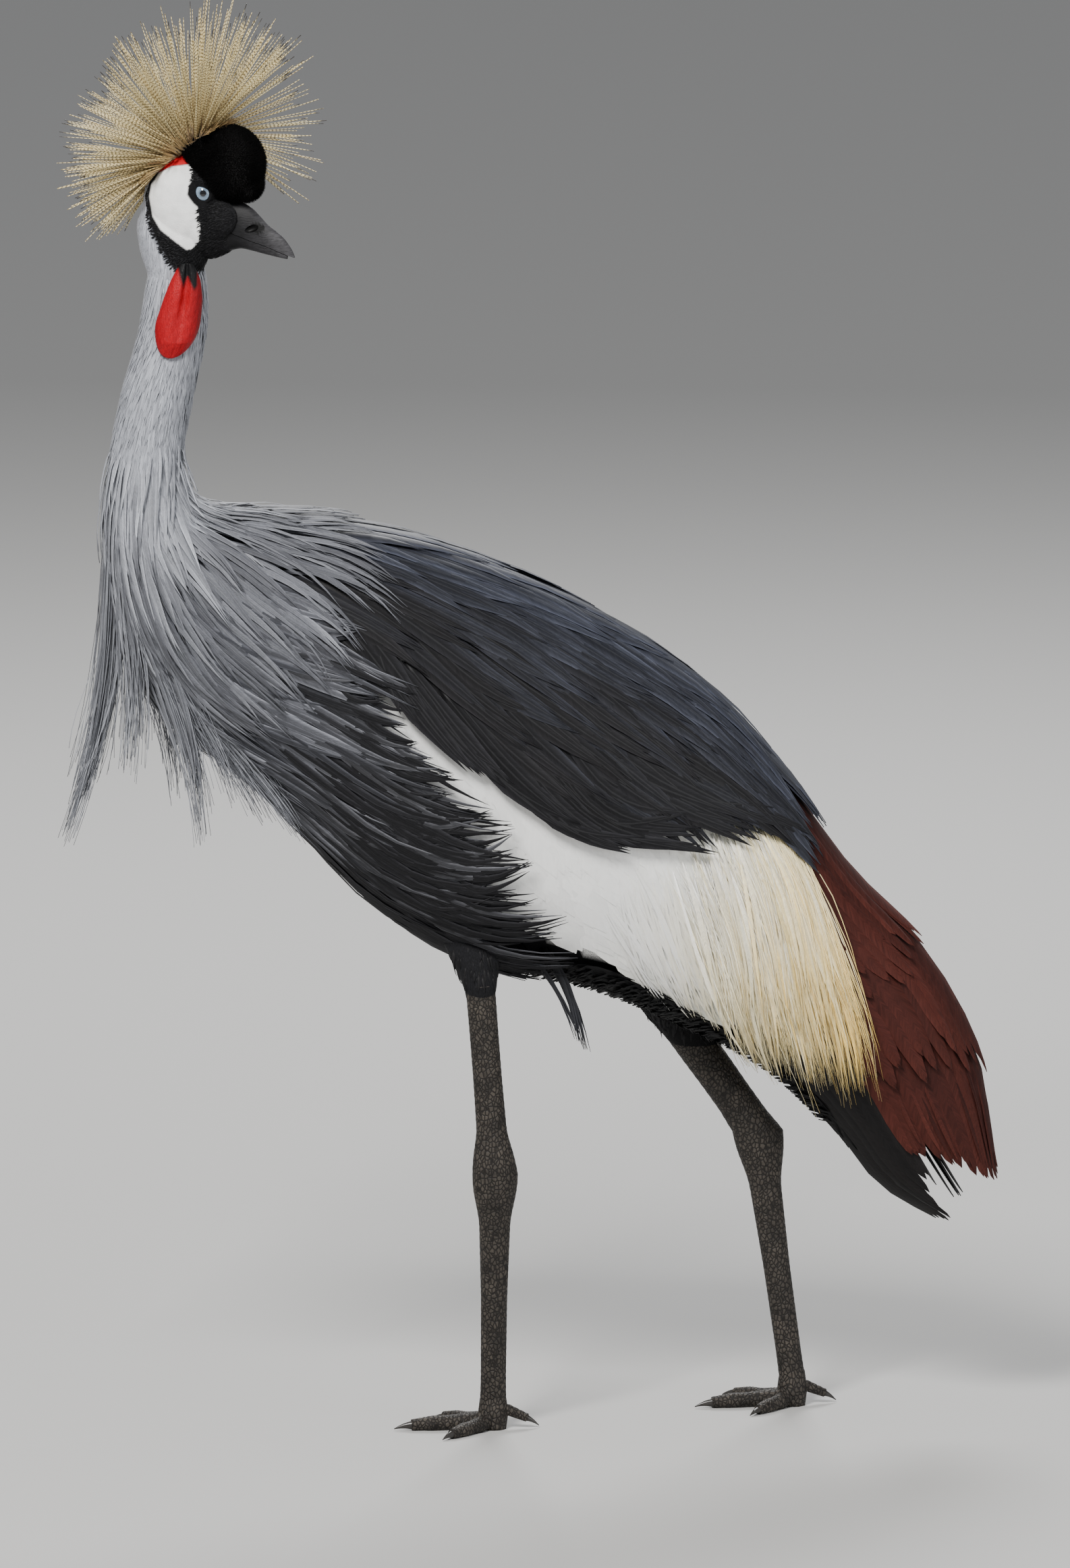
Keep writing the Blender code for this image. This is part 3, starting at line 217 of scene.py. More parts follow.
def calc(tree, operation, *values, clamp=False):
    node = tree.nodes.new("ShaderNodeMath")
    node.operation = operation
    node.use_clamp = clamp
    for socket, value in zip(node.inputs, values):
        feed(tree, socket, value)
    return node.outputs[0]


def mix(tree, share, a, b, kind="MIX"):
    node = tree.nodes.new("ShaderNodeMix")
    node.data_type = "RGBA"
    node.blend_type = kind
    node.clamp_factor = True
    for index, value in ((0, share), (6, a), (7, b)):
        feed(tree, node.inputs[index], (*value, 1.0) if isinstance(value, tuple) else value)
    return node.outputs[2]


def noise(tree, vector, scale, detail=2.0, roughness=0.5):
    node = tree.nodes.new("ShaderNodeTexNoise")
    feed(tree, node.inputs["Vector"], vector)
    node.inputs["Scale"].default_value = scale
    node.inputs["Detail"].default_value = detail
    node.inputs["Roughness"].default_value = roughness
    return node.outputs["Fac"]


def cells(tree, vector, scale, feature="F1", output="Distance"):
    node = tree.nodes.new("ShaderNodeTexVoronoi")
    node.feature = feature
    feed(tree, node.inputs["Vector"], vector)
    node.inputs["Scale"].default_value = scale
    return node.outputs[output]


def vector_of(tree, x, y, z):
    node = tree.nodes.new("ShaderNodeCombineXYZ")
    for socket, value in zip(node.inputs, (x, y, z)):
        feed(tree, socket, value)
    return node.outputs[0]


def spread(tree, value, low, high, to_low=0.0, to_high=1.0):
    """The value moved from one range to another, with its ends held."""
    node = tree.nodes.new("ShaderNodeMapRange")
    for socket, number in zip(node.inputs, (value, low, high, to_low, to_high)):
        feed(tree, socket, number)
    return node.outputs[0]


def object_place(tree, scale=(1, 1, 1), turn=(0, 0, 0)):
    place = tree.nodes.new("ShaderNodeTexCoord").outputs["Object"]
    node = tree.nodes.new("ShaderNodeMapping")
    node.inputs["Scale"].default_value = scale
    node.inputs["Rotation"].default_value = turn
    tree.links.new(place, node.inputs["Vector"])
    return node.outputs[0]


def attribute(tree, name, output="Color"):
    node = tree.nodes.new("ShaderNodeAttribute")
    node.attribute_name = name
    return node.outputs[output]


def vane_place(tree):
    """u across a feather and v along it, from its own map."""
    node = tree.nodes.new("ShaderNodeUVMap")
    node.uv_map = "vane"
    parts = tree.nodes.new("ShaderNodeSeparateXYZ")
    tree.links.new(node.outputs[0], parts.inputs[0])
    return parts.outputs[0], parts.outputs[1]


def raise_surface(tree, shader, height, strength, distance=0.001):
    node = tree.nodes.new("ShaderNodeBump")
    node.inputs["Strength"].default_value = strength
    node.inputs["Distance"].default_value = distance
    tree.links.new(height, node.inputs["Height"])
    tree.links.new(node.outputs[0], shader.inputs["Normal"])


# %% [markdown]
# ## What a feather is made of
# A vane is a stiff shaft with hundreds of barbs that slant out and forward from it. At life size
# the barbs are finer than a pixel, so they are drawn rather than modelled: noise that is stretched
# along the slant gives the streaks, a thin line down the middle gives the shaft, and the colour
# comes from an attribute named paint that each feather carries. Another attribute, tint, makes
# every feather a little lighter or darker than its neighbour.

# %% The plumage recipe
def plumage(name, shaft=0.5, edge_light=0.3, streaks=0.5, roughness=0.62, sheen=0.1, gloss=0.25, bump=0.25, vary=0.2):
    material, tree, shader = new_material(name, roughness, Sheen_Weight=sheen, Sheen_Roughness=0.45,
                                          Specular_IOR_Level=gloss)
    u, v = vane_place(tree)
    across = calc(tree, "MULTIPLY", calc(tree, "ABSOLUTE", calc(tree, "SUBTRACT", u, 0.5)), 2.0)
    tint = attribute(tree, "tint", "Fac")
    halves = calc(tree, "MULTIPLY", v, attribute(tree, "span", "Fac"))
    slant = calc(tree, "SUBTRACT", halves, calc(tree, "MULTIPLY", across, 1.6))
    barbs = noise(tree, vector_of(tree, calc(tree, "MULTIPLY", slant, 2.6), calc(tree, "MULTIPLY", across, 0.8),
                                  calc(tree, "MULTIPLY", tint, 60.0)), 1.0, 3.0, 0.6)
    tone = spread(tree, barbs, 0.25, 0.75, 1 - streaks * 0.6, 1 + streaks * 0.5)
    own = spread(tree, tint, 0.0, 1.0, 1 - vary, 1 + vary)
    tone = calc(tree, "MULTIPLY", tone, own)
    tone = calc(tree, "MULTIPLY", tone, spread(tree, across, 0.35, 1.0, 1.0, 1.0 + edge_light))
    colour = mix(tree, 1.0, attribute(tree, "paint"), vector_of(tree, tone, tone, tone), "MULTIPLY")
    line = spread(tree, across, 0.03, 0.16, shaft, 0.0)
    colour = mix(tree, line, colour, (0.72, 0.73, 0.76), "SCREEN")
    tree.links.new(colour, shader.inputs["Base Color"])
    raise_surface(tree, shader, barbs, bump, 0.0006)
    return material


NECK_COAT = plumage("neck_plumage", shaft=0.0, edge_light=0.0, streaks=0.25, bump=0.05, vary=0.13)
PLUME_COAT = plumage("hanging_plume", shaft=0.06, edge_light=0.5, streaks=0.6)
FLANK_COAT = plumage("flank_plumage", shaft=0.008, edge_light=1.6, streaks=0.5, sheen=0.02, gloss=0.12)
DARK_COAT = plumage("slate_plumage", shaft=0.018, edge_light=1.4, streaks=0.5, roughness=0.5, sheen=0.02, gloss=0.14)
WHITE_COAT = plumage("white_plumage", shaft=0.0, edge_light=0.0, streaks=0.09, roughness=0.7, bump=0.03, vary=0.04)
GOLD_COAT = plumage("straw_plumage", shaft=0.05, edge_light=0.05, streaks=0.5, roughness=0.55)
CHESTNUT_COAT = plumage("chestnut_plumage", shaft=0.0, edge_light=0.1, streaks=0.7, sheen=0.02, gloss=0.14)
BLACK_COAT = plumage("black_plumage", shaft=0.002, edge_light=0.2, streaks=0.5, roughness=0.5, sheen=0.02, gloss=0.12)
print("plumage recipes:", len([m for m in bpy.data.materials if "plum" in m.name]))

# %% [markdown]
# ## A feather as a mesh
# A vane needs few faces to look right, and there are thousands of them. Each has a row of
# cross-sections with four points: the two edges, the shaft on top and the middle underneath. The
# edges hang a little, which is what lets light catch one half of a feather and leave the other dark.
# All feathers of one coat are computed as arrays and become one mesh.

# %% Arrays of feathers
def lance(rows, foot=0.35, widest=0.42, taper=0.72):
    """Half widths of a lance-shaped vane from root to tip, as shares of its widest.

    rows is how many rows are spaced evenly, or the rows' own shares of the length.
    """
    share = np.linspace(0, 1, rows) if np.isscalar(rows) else rows
    rise = foot + (1 - foot) * np.clip(share / widest, 0, 1)
    fall = np.clip((1 - share) / (1 - widest), 0, 1) ** taper
    return np.maximum(np.minimum(rise, fall), 0.015)


ROUND_TIP = 1 - (1 - np.linspace(0, 1, 9)) ** 1.7  # rows that crowd towards the tip, for broad round ends


def faces_of_vanes(count, rows):
    """Quads of vanes with four points to a row, outward."""
    corner = np.arange(4)
    after = (corner + 1) % 4
    strip = np.arange(rows - 1)[:, None] * 4
    sides = np.stack([strip + corner, strip + 4 + corner, strip + 4 + after, strip + after], axis=-1).reshape(-1, 4)
    last = (rows - 1) * 4
    one = np.vstack([sides, [[0, 1, 2, 3]], [[last + 3, last + 2, last + 1, last]]])
    return (one[None] + (np.arange(count) * rows * 4)[:, None, None]).reshape(-1, 4)


def quad_mesh(name, points, quads):
    mesh = bpy.data.meshes.new(name)
    mesh.vertices.add(len(points))
    mesh.vertices.foreach_set("co", np.ascontiguousarray(points, np.float32).ravel())
    mesh.loops.add(quads.size)
    mesh.loops.foreach_set("vertex_index", np.ascontiguousarray(quads, np.int32).ravel())
    mesh.polygons.add(len(quads))
    mesh.polygons.foreach_set("loop_start", np.arange(0, quads.size, 4, dtype=np.int32))
    mesh.update(calc_edges=True)
    mesh.polygons.foreach_set("use_smooth", np.ones(len(quads), bool))
    return mesh


def add_map(mesh, name, per_point, corners):
    layer = mesh.uv_layers.new(name=name)
    layer.data.foreach_set("uv", np.ascontiguousarray(per_point[corners], np.float32).ravel())


def add_number(mesh, name, values):
    layer = mesh.attributes.new(name, "FLOAT", "POINT")
    layer.data.foreach_set("value", np.ascontiguousarray(values, np.float32).ravel())


def add_paint(mesh, colours):
    layer = mesh.attributes.new("paint", "FLOAT_COLOR", "POINT")
    full = np.ones((len(colours), 4), np.float32)
    full[:, :3] = colours
    layer.data.foreach_set("color", full.ravel())


def crease(mesh):
    """Marks the two long edges of every vane sharp, so that its upper face shades as a flat blade."""
    ends = np.empty(len(mesh.edges) * 2, np.int32)
    mesh.edges.foreach_get("vertices", ends)
    ends = ends.reshape(-1, 2)
    sharp = (ends[:, 0] % 4 == ends[:, 1] % 4) & (ends[:, 0] % 2 == 0)
    layer = mesh.attributes.new("sharp_edge", "BOOLEAN", "EDGE")
    layer.data.foreach_set("value", sharp)


def clump(t, theta, side, spacing, pull, rng):
    """Tips drawn together into pointed bundles, as feathers that cling to each other."""
    place = np.stack([t * 0.095, theta * 0.0015, side * 1.0], axis=1)
    leaders = rng.choice(len(t), max(1, int(len(t) / spacing)), replace=False)
    away = np.linalg.norm(place[:, None] - place[leaders][None], axis=-1)
    mine = leaders[away.argmin(axis=1)]
    pull = pull * rng.uniform(0.6, 1.1, len(t))
    return t + (t[mine] - t) * pull, theta + (theta[mine] - theta) * pull


def put(name, mesh, material):
    obj = bpy.data.objects.new(name, mesh)
    bpy.context.scene.collection.objects.link(obj)
    mesh.materials.clear()
    mesh.materials.append(material)
    return obj


def ready(piece, slot, *nodes):
    """The piece rides on the one body and stands for some solids, which are hidden. The argument slot is not used."""
    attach(piece, "root")
    if nodes:
        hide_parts(*nodes)
    return piece


def hull_map(t, theta, side):
    """Where a place lies on the unwrapped skin, from 0 to 1."""
    round_it = np.where(np.asarray(side) < 0, theta, 360 - theta) / 360 % 1.0
    return np.stack(np.broadcast_arrays(round_it, (np.asarray(t) + 0.6) / 15.5 * 0.8), axis=-1)


def coat(name, paths, facing, half_widths, thick, places, paint, material, camber=0.22, rng=None, blade=True):
    """One mesh of many vanes. paths and facing are (feathers, rows, 3), half_widths (feathers, rows).

    A blade is flat with sharp edges. Without it the vanes take the body's own normals, so that
    they shade together as one even surface."""
    count, rows = paths.shape[:2]
    along = unit(np.gradient(paths, axis=1))
    across = unit(np.cross(facing, along))
    up = np.cross(along, across)
    wide = np.maximum(half_widths, 0.00006)[..., None]
    high = np.broadcast_to(np.asarray(thick, float), (count, rows))[..., None]
    sag = up * wide * camber
    points = np.stack([paths - across * wide - sag, paths + up * high, paths + across * wide - sag,
                       paths - up * high * 0.5], axis=2)
    quads = faces_of_vanes(count, rows)
    mesh = quad_mesh(name, points.reshape(-1, 3), quads)
    corners = quads.ravel()
    share = np.linspace(0, 1, rows)
    vane = np.empty((count, rows, 4, 2))
    vane[..., 0] = np.array([0.0, 0.5, 1.0, 0.5])
    vane[..., 1] = share[None, :, None]
    add_map(mesh, "vane", vane.reshape(-1, 2), corners)
    patch = places[:, None, None, :] + (vane - 0.5) * 0.003
    add_map(mesh, "OFBake", patch.reshape(-1, 2), corners)
    rng = rng or np.random.default_rng(1)
    tint = np.broadcast_to(rng.random(count)[:, None, None], (count, rows, 4))
    length = np.linalg.norm(np.diff(paths, axis=1), axis=-1).sum(1)
    span = np.broadcast_to((length / np.maximum(half_widths.max(1), 1e-5))[:, None, None], (count, rows, 4))
    add_number(mesh, "tint", tint)
    add_number(mesh, "span", np.minimum(span, 80))
    colour = np.broadcast_to(np.asarray(paint, float).reshape(count if np.ndim(paint) > 1 else 1, -1, 3),
                             (count, rows, 3))
    add_paint(mesh, np.repeat(colour.reshape(-1, 3), 4, axis=0))
    if blade:
        crease(mesh)
    else:
        normals = np.repeat(facing[:, :, None], 4, axis=2) * np.array([1, 1, 1, -1.0])[:, None]
        mesh.normals_split_custom_set_from_vertices(normals.reshape(-1, 3).tolist())
    print(f"{name}: {count} feathers, {len(quads) * 2} triangles")
    return put(name, mesh, material)


def scatter(rng, stations, low, high, row_gap, gap, sides=(LEFT, RIGHT)):
    """Staggered places (t, theta, side) over part of the hull, gap apart across and row_gap along."""
    found, t, row = [], stations[0], 0
    while t <= stations[1]:
        first, last = float(low(t)), float(high(t))
        thetas = np.linspace(first, last, 30)
        arc = np.concatenate([[0], np.cumsum(metres_per_degree(t, thetas[:-1], 1) * np.diff(thetas))])
        count = max(1, int(arc[-1] / gap))
        for side in sides:
            share = (np.arange(count) + 0.25 + 0.5 * (row % 2) + rng.uniform(-0.3, 0.3, count)) / count
            theta = np.interp(share * arc[-1], arc, thetas)
            step = rng.uniform(-0.5, 0.5, count) * row_gap
            found.append(np.stack([t + step / metres_per_station(t, theta, 1), theta, np.full(count, side)], 1))
        t += row_gap / float(metres_per_station(np.array(t), np.array(90.0), 1))
        row += 1
    return np.concatenate(found).T


def reach(t, theta, side, length, turn_deg):
    """The place that a feather of this length ends at. turn_deg bends it from tailward to bellyward."""
    turn = np.radians(turn_deg)
    tip_t = t + length * np.cos(turn) / metres_per_station(t, theta, side)
    return tip_t, theta + length * np.sin(turn) / metres_per_degree(t, theta, side)


def lay(t, theta, tip_t, tip_theta, side, depths, rows, bow=0.0, extra=0.0):
    """Centre lines on the hull from root to tip. depths is a list of (share, depth)."""
    share = (np.linspace(0, 1, rows) if np.isscalar(rows) else rows)[None]
    ts = t[:, None] + (tip_t - t)[:, None] * share
    thetas = theta[:, None] + (tip_theta - theta)[:, None] * share + np.asarray(bow)[..., None] * np.sin(np.pi * share)
    depth = np.interp(share, *zip(*depths)) + np.asarray(extra)[..., None] * np.minimum(1, share * 3)
    return on_hull(ts, thetas, depth, side[:, None])



print("one hull, two numbers for each place on it")

# %% [markdown]
# ## The skin
# Under the feathers is one closed skin, from the head down the neck and the body to the rump, with
# the thighs in it. It lies inside the hull by the depth of the coat and carries the same markings,
# so that a gap between two feathers never shows a wrong colour. The body is a loft through many
# rings. The head is built from rounded forms that are joined by a voxel remesh, which melts their
# seams the way skin does.

# %% The skin of body and neck
RINGS, AROUND = 170, 84


def closed_loft(rings):
    """(points, faces) of rings of equal length with both ends closed, outward for rings that turn left."""
    rings = np.asarray(rings)
    count, sides = rings.shape[:2]
    k = np.arange(sides)
    after = (k + 1) % sides
    row = np.arange(count - 1)[:, None] * sides
    quads = np.stack([row + k, row + after, row + sides + after, row + sides + k], axis=-1).reshape(-1, 4).tolist()
    return rings.reshape(-1, 3), quads + [list(range(sides))[::-1], [(count - 1) * sides + i for i in range(sides)]]


def plain_mesh(name, points, faces):
    mesh = bpy.data.meshes.new(name)
    mesh.from_pydata([tuple(p) for p in points], [], faces)
    body = bmesh.new()
    body.from_mesh(mesh)
    bmesh.ops.recalc_face_normals(body, faces=body.faces)
    body.to_mesh(mesh)
    body.free()
    mesh.polygons.foreach_set("use_smooth", np.ones(len(mesh.polygons), bool))
    return mesh


def helper(name, points, faces):
    obj = bpy.data.objects.new(name, plain_mesh(name, points, faces))
    bpy.context.scene.collection.objects.link(obj)
    return obj


def baked(obj):
    """The object's mesh with its modifiers applied."""
    graph = bpy.context.evaluated_depsgraph_get()
    return bpy.data.meshes.new_from_object(obj.evaluated_get(graph))


def discard(*objects):
    for obj in objects:
        bpy.data.objects.remove(obj)


def apply_all(obj):
    mesh = baked(obj)
    obj.modifiers.clear()
    obj.data = mesh
    return obj


def cut_or_join(base, other, operation):
    change = base.modifiers.new("change", "BOOLEAN")
    change.operation = operation
    change.solver = "MANIFOLD"
    change.object = other
    apply_all(base)
    discard(other)
    return base


def skin_rings():
    rings = []
    for t in np.concatenate([np.linspace(-0.30, 10.5, RINGS), np.linspace(10.6, 12.3, 22)]):
        theta = np.linspace(0, 360, AROUND, endpoint=False)
        side = np.where(theta <= 180, LEFT, RIGHT)
        turned = np.where(theta <= 180, theta, 360 - theta)
        ring = on_hull(t, turned, skin_depth(t, turned), side)[0]
        middle = ring.mean(axis=0)
        rings.append(middle + (ring - middle) * np.interp(t, (10.5, 11.2, 11.6, 12.3), (1, 0.92, 0.72, 0.24)))
    return rings


skin = helper("skin", *closed_loft(skin_rings()))
print("skin of body and neck:", len(skin.data.polygons), "faces")

# %% [markdown]
# The legs of a crane leave the body as feathered thighs. Each leg is one path from the hip to the
# floor. The thigh is joined to the skin here, and the bare part is made further down.

# %% Limbs as tubes
LEGS = {
    "left": ((-0.060, -0.022, 0.444), (-0.0545, -0.044, 0.386), (-0.041, -0.038, 0.226), (-0.037, -0.005, 0.024)),
    "right": ((0.104, 0.030, 0.384), (0.146, 0.046, 0.318), (0.201, 0.048, 0.240), (0.232, 0.052, 0.024)),
}


def smooth_steps(values, rows, passes=2):
    """Values along a limb, spaced evenly and eased, with both ends kept."""
    values = np.asarray(values, float)
    if values.ndim == 1:
        values = values[:, None]
    at = np.linspace(0, 1, len(values))
    fine = np.stack([np.interp(np.linspace(0, 1, rows), at, column) for column in values.T], axis=1)
    for _ in range(passes):
        fine[1:-1] = (fine[:-2] + 2 * fine[1:-1] + fine[2:]) / 4
    return fine


def tube_rings(path, sizes, sides=24, level=False):
    """Rings of a limb. sizes are (half length fore and aft, half width) at each row of the path."""
    along = unit(np.gradient(path, axis=0))
    if level:
        along = np.tile([0.0, 0.0, -1.0], (len(path), 1))
    guide = np.where(np.abs(along[:, 1:2]) < 0.7, [[0.0, 1.0, 0.0]], [[0.0, 0.0, 1.0]])
    across = unit(np.cross(along, guide))
    beside = np.cross(across, along)
    angle = np.linspace(0, math.tau, sides, endpoint=False)
    ring = across[:, None] * np.cos(angle)[None, :, None] * sizes[:, None, 0:1]
    return path[:, None] + ring + beside[:, None] * np.sin(angle)[None, :, None] * sizes[:, None, 1:2]


THIGH_SIZES = {
    "left": ((0.033, 0.0150), (0.0250, 0.0160), (0.0170, 0.0145), (0.0120, 0.0108), (0.0098, 0.0085)),
    "right": ((0.032, 0.019), (0.029, 0.017), (0.0235, 0.0155), (0.0195, 0.0140), (0.0170, 0.0120)),
}


def thigh_rows(end, rows=20):
    hip, knee, ankle = [np.array(p) for p in LEGS[end][:3]]
    path = smooth_steps([hip, (hip + knee) / 2, knee, knee + unit(ankle - knee) * 0.014], rows)
    return path, smooth_steps(THIGH_SIZES[end], rows)


for end in LEGS:
    thigh = helper("thigh", *closed_loft(tube_rings(*thigh_rows(end), level=True)))
    skin = cut_or_join(skin, thigh, "UNION")
print("skin with thighs:", len(skin.data.polygons), "faces")

# %% [markdown]
# ## The head
# The head has a frame of its own, because the bird looks back over its shoulder: x runs to the bill,
# z up, and y to its left. Skull, throat, cheeks, brow and eye rims start as separate rounded forms.
# Voxel remesh makes one surface of them at 0.8 mm, and a few smoothing passes soften the joins.

# %% Head forms
HEAD_PLACE = np.array([-0.312, 0.0, 1.000])
HEAD_TURN = math.radians(-28.0)
HEAD_AXES = np.array(Matrix.Rotation(HEAD_TURN, 3, "Z"))
SKULL = (
    (-20.5, 70, 54, 6), (-16, 85, 43, 14.5), (-6, 97, 34, 21.5), (8, 103, 28, 24.5),
    (22, 102, 21, 24.0), (35, 94, 15, 20.0), (45, 81, 17.5, 15.0), (54, 68.5, 22, 11.0),
)
THROAT = ((-9, 4.4, 19.5, 17.0), (3.3, 4.4, 23.2, 20.2), (16, 4.7, 28.3, 21.8), (30, 3.9, 30.3, 23.5), (44, 2.0, 29.0, 23.0), (62, 3.0, 22.0, 18.0))
EYE = np.array([34.0, 12.6, 72.9]) * MM
EYE_RADIUS = 8.6 * MM


def to_head(points):
    """World places as places in the head's frame."""
    return (np.asarray(points) - HEAD_PLACE) @ HEAD_AXES


def from_head(points):
    return np.asarray(points) @ HEAD_AXES.T + HEAD_PLACE


def eased(table, rows):
    """A table of sections with more rows, by a smooth curve through them."""
    table = np.array(table, float)
    at, fine = np.arange(len(table)), np.linspace(0, len(table) - 1, rows)
    i = np.clip(fine.astype(int), 0, len(table) - 2)
    s = (fine - i)[:, None]
    before, beyond = table[np.maximum(i - 1, 0)], table[np.minimum(i + 2, at[-1])]
    here, after = table[i], table[i + 1]
    slope_in, slope_out = (after - before) / 2, (beyond - here) / 2
    cubic = (2 * s**3 - 3 * s**2 + 1) * here + (s**3 - 2 * s**2 + s) * slope_in
    return cubic + (3 * s**2 - 2 * s**3) * after + (s**3 - s**2) * slope_out


def skull_form(grow=0.0, rows=26, sides=40):
    angle = np.linspace(0, math.tau, sides, endpoint=False)
    rings = []
    for x, top, bottom, half in eased(SKULL, rows):
        middle, tall = (top + bottom) / 2, (top - bottom) / 2 + grow
        ring = [np.full(sides, x), (half + grow) * np.sin(angle), middle + tall * np.cos(angle)]
        rings.append(np.stack(ring, axis=1) * MM)
    return closed_loft(rings)


def throat_form(rows=18, sides=40):
    angle = np.linspace(0, math.tau, sides, endpoint=False)
    rings = []
    for z, middle, long_half, half in eased(THROAT, rows):
        ring = [middle + long_half * np.cos(angle), half * np.sin(angle), np.full(sides, z)]
        rings.append(np.stack(ring, axis=1) * MM)
    return closed_loft(rings)


def ball_form(centre, radii, tilt_deg=0.0, detail=16):
    ball = bmesh.new()
    bmesh.ops.create_uvsphere(ball, u_segments=detail * 2, v_segments=detail, radius=1.0)
    turn = np.array(Matrix.Rotation(math.radians(-tilt_deg), 3, "Y"))
    points = np.array([v.co for v in ball.verts]) * np.array(radii) * MM @ turn.T + np.array(centre) * MM
    faces = [[v.index for v in f.verts] for f in ball.faces]
    ball.free()
    return points, faces


def rim_form(side, radius=8.5, thick=1.25, bulge=4.5):
    """The ring of the eyelids, round the eye where the ball leaves the head."""
    turn, tilt = np.meshgrid(np.linspace(0, math.tau, 48, endpoint=False), np.linspace(0, math.tau, 12, endpoint=False), indexing="ij")
    away = radius + thick * np.cos(tilt)
    points = np.stack([away * np.cos(turn), np.full_like(away, 0) + thick * np.sin(tilt), away * np.sin(turn) * 0.96], axis=-1)
    points = points * MM + EYE * [1, side, 1] + [0, side * bulge * MM, 0]
    i, j = np.meshgrid(np.arange(48), np.arange(12), indexing="ij")
    a, b = (i + 1) % 48, (j + 1) % 12
    faces = np.stack([i * 12 + j, a * 12 + j, a * 12 + b, i * 12 + b], axis=-1).reshape(-1, 4)
    return points.reshape(-1, 3), faces.tolist()


def joined(name, forms):
    points, faces = [], []
    for more, quads in forms:
        faces += [[index + sum(map(len, points)) for index in face] for face in quads]
        points.append(np.asarray(more))
    return helper(name, np.concatenate(points), faces)


HEAD_FORMS = [skull_form(), throat_form()]
HEAD_FORMS += [ball_form((12, side * 12, 62), (25, 14.5, 33), 8) for side in (LEFT, RIGHT)]
HEAD_FORMS += [ball_form((43, side * 10.5, 50), (20, 7, 17), 20) for side in (LEFT, RIGHT)]
HEAD_FORMS += [ball_form((36, side * 12, 82), (16, 8.5, 8), -12) for side in (LEFT, RIGHT)]
HEAD_FORMS += [ball_form((34, side * 14.4, 72.9), (11.2, 4.6, 10.6)) for side in (LEFT, RIGHT)]
head = joined("head", HEAD_FORMS)
melt = head.modifiers.new("melt", "REMESH")
melt.mode = "VOXEL"
melt.voxel_size = 0.8 * MM
soften = head.modifiers.new("soften", "SMOOTH")
soften.factor = 0.5
soften.iterations = 9
apply_all(head)
for side in (LEFT, RIGHT):
    rim = joined("rim", [rim_form(side)])
    cut_or_join(head, rim, "UNION")
    socket = joined("socket", [ball_form(EYE / MM * [1, side, 1], [8.65] * 3, 0, 20)])
    cut_or_join(head, socket, "DIFFERENCE")
head.data.transform(Matrix.Translation(Vector(HEAD_PLACE)) @ Matrix.Rotation(HEAD_TURN, 4, "Z"))
print("head:", len(head.data.polygons), "faces")

# %% [markdown]
# The head joins the neck in one surface. Its colours are painted by place: each patch is an outline
# in the head's own side view, with a soft edge. Seen from the side, a point on the bulging cheek
# shows a little further back than it is, so the outlines are compared with that view.

# %% Patches of the face
CHEEK = ((17.5, 96.2), (1.5, 93.9), (-8.7, 88.1), (-15.6, 77.6), (-17.3, 67.8), (-14.5, 51.5), (-7.9, 41.1),
         (3.3, 32.4), (14.1, 24.3), (18.7, 24.8), (25.3, 32.4), (25.3, 46.9), (23.3, 61.4), (19.5, 64.9),
         (14.7, 71.8), (15.8, 79.4), (19.5, 85.2), (18.7, 92.2))
RED_PATCH = ((16.7, 111.0), (17.9, 96.6), (2.0, 94.4), (-9.3, 88.6), (-3.0, 100.5), (4.0, 106.0))
DARK_FACE = ((-11, 91), (-3, 105), (20, 118), (60, 105), (75, 60), (62, 20), (36, 12), (25, 4), (21, -9), (15, 1),
             (11, -8), (7, 6), (-1, 13), (-7, 23), (-13.5, 35), (-17.5, 47), (-19.6, 58), (-20, 69), (-17.5, 80))


def signed_distance(outline, x, z):
    """Distance in mm to a closed outline, positive inside."""
    outline = np.array(outline, float)
    best = np.full(x.shape, 1e9)
    inside = np.zeros(x.shape, bool)
    for (ax, az), (bx, bz) in zip(outline, np.roll(outline, -1, axis=0)):
        share = np.clip(((x - ax) * (bx - ax) + (z - az) * (bz - az)) / ((bx - ax) ** 2 + (bz - az) ** 2), 0, 1)
        best = np.minimum(best, np.hypot(x - ax - share * (bx - ax), z - az - share * (bz - az)))
        crosses = ((az > z) != (bz > z)) & (x < (bx - ax) * (z - az) / np.where(bz == az, 1e-9, bz - az) + ax)
        inside ^= crosses
    return np.where(inside, best, -best)


def head_view(points):
    """The head's side view in mm: forward and up, as it shows when the head turns 18 degrees."""
    local = to_head(points) / MM
    return 0.951 * local[:, 0] - 0.309 * np.abs(local[:, 1]), local[:, 2], local


def soft(distance, width=0.7):
    return np.clip(distance / width * 0.5 + 0.5, 0, 1)


def face_paint(points):
    """Colour and bareness of the head's skin."""
    x, z, local = head_view(points)
    colour = np.tile(NECK_GREY, (len(points), 1))
    dark = soft(signed_distance(DARK_FACE, x, z), 1.6)
    colour = np.array((0.0042, 0.0042, 0.0048)) * dark[:, None] + colour * (1 - dark[:, None])
    lores = np.clip((x - 36) / 14, 0, 1) * np.clip((68 - z) / 10, 0, 1) * dark
    colour = colour * (1 - lores[:, None]) + np.array((0.0095, 0.0095, 0.0105)) * lores[:, None]
    red = soft(signed_distance(RED_PATCH, x, z))
    colour = colour * (1 - red[:, None]) + np.array((0.50, 0.010, 0.016)) * red[:, None]
    cheek = soft(signed_distance(CHEEK, x, z))
    colour = colour * (1 - cheek[:, None]) + np.array((0.86, 0.86, 0.85)) * cheek[:, None]
    return colour, np.maximum(cheek, red)


cut_or_join(skin, head, "UNION")
print("one skin:", len(skin.data.polygons), "faces")

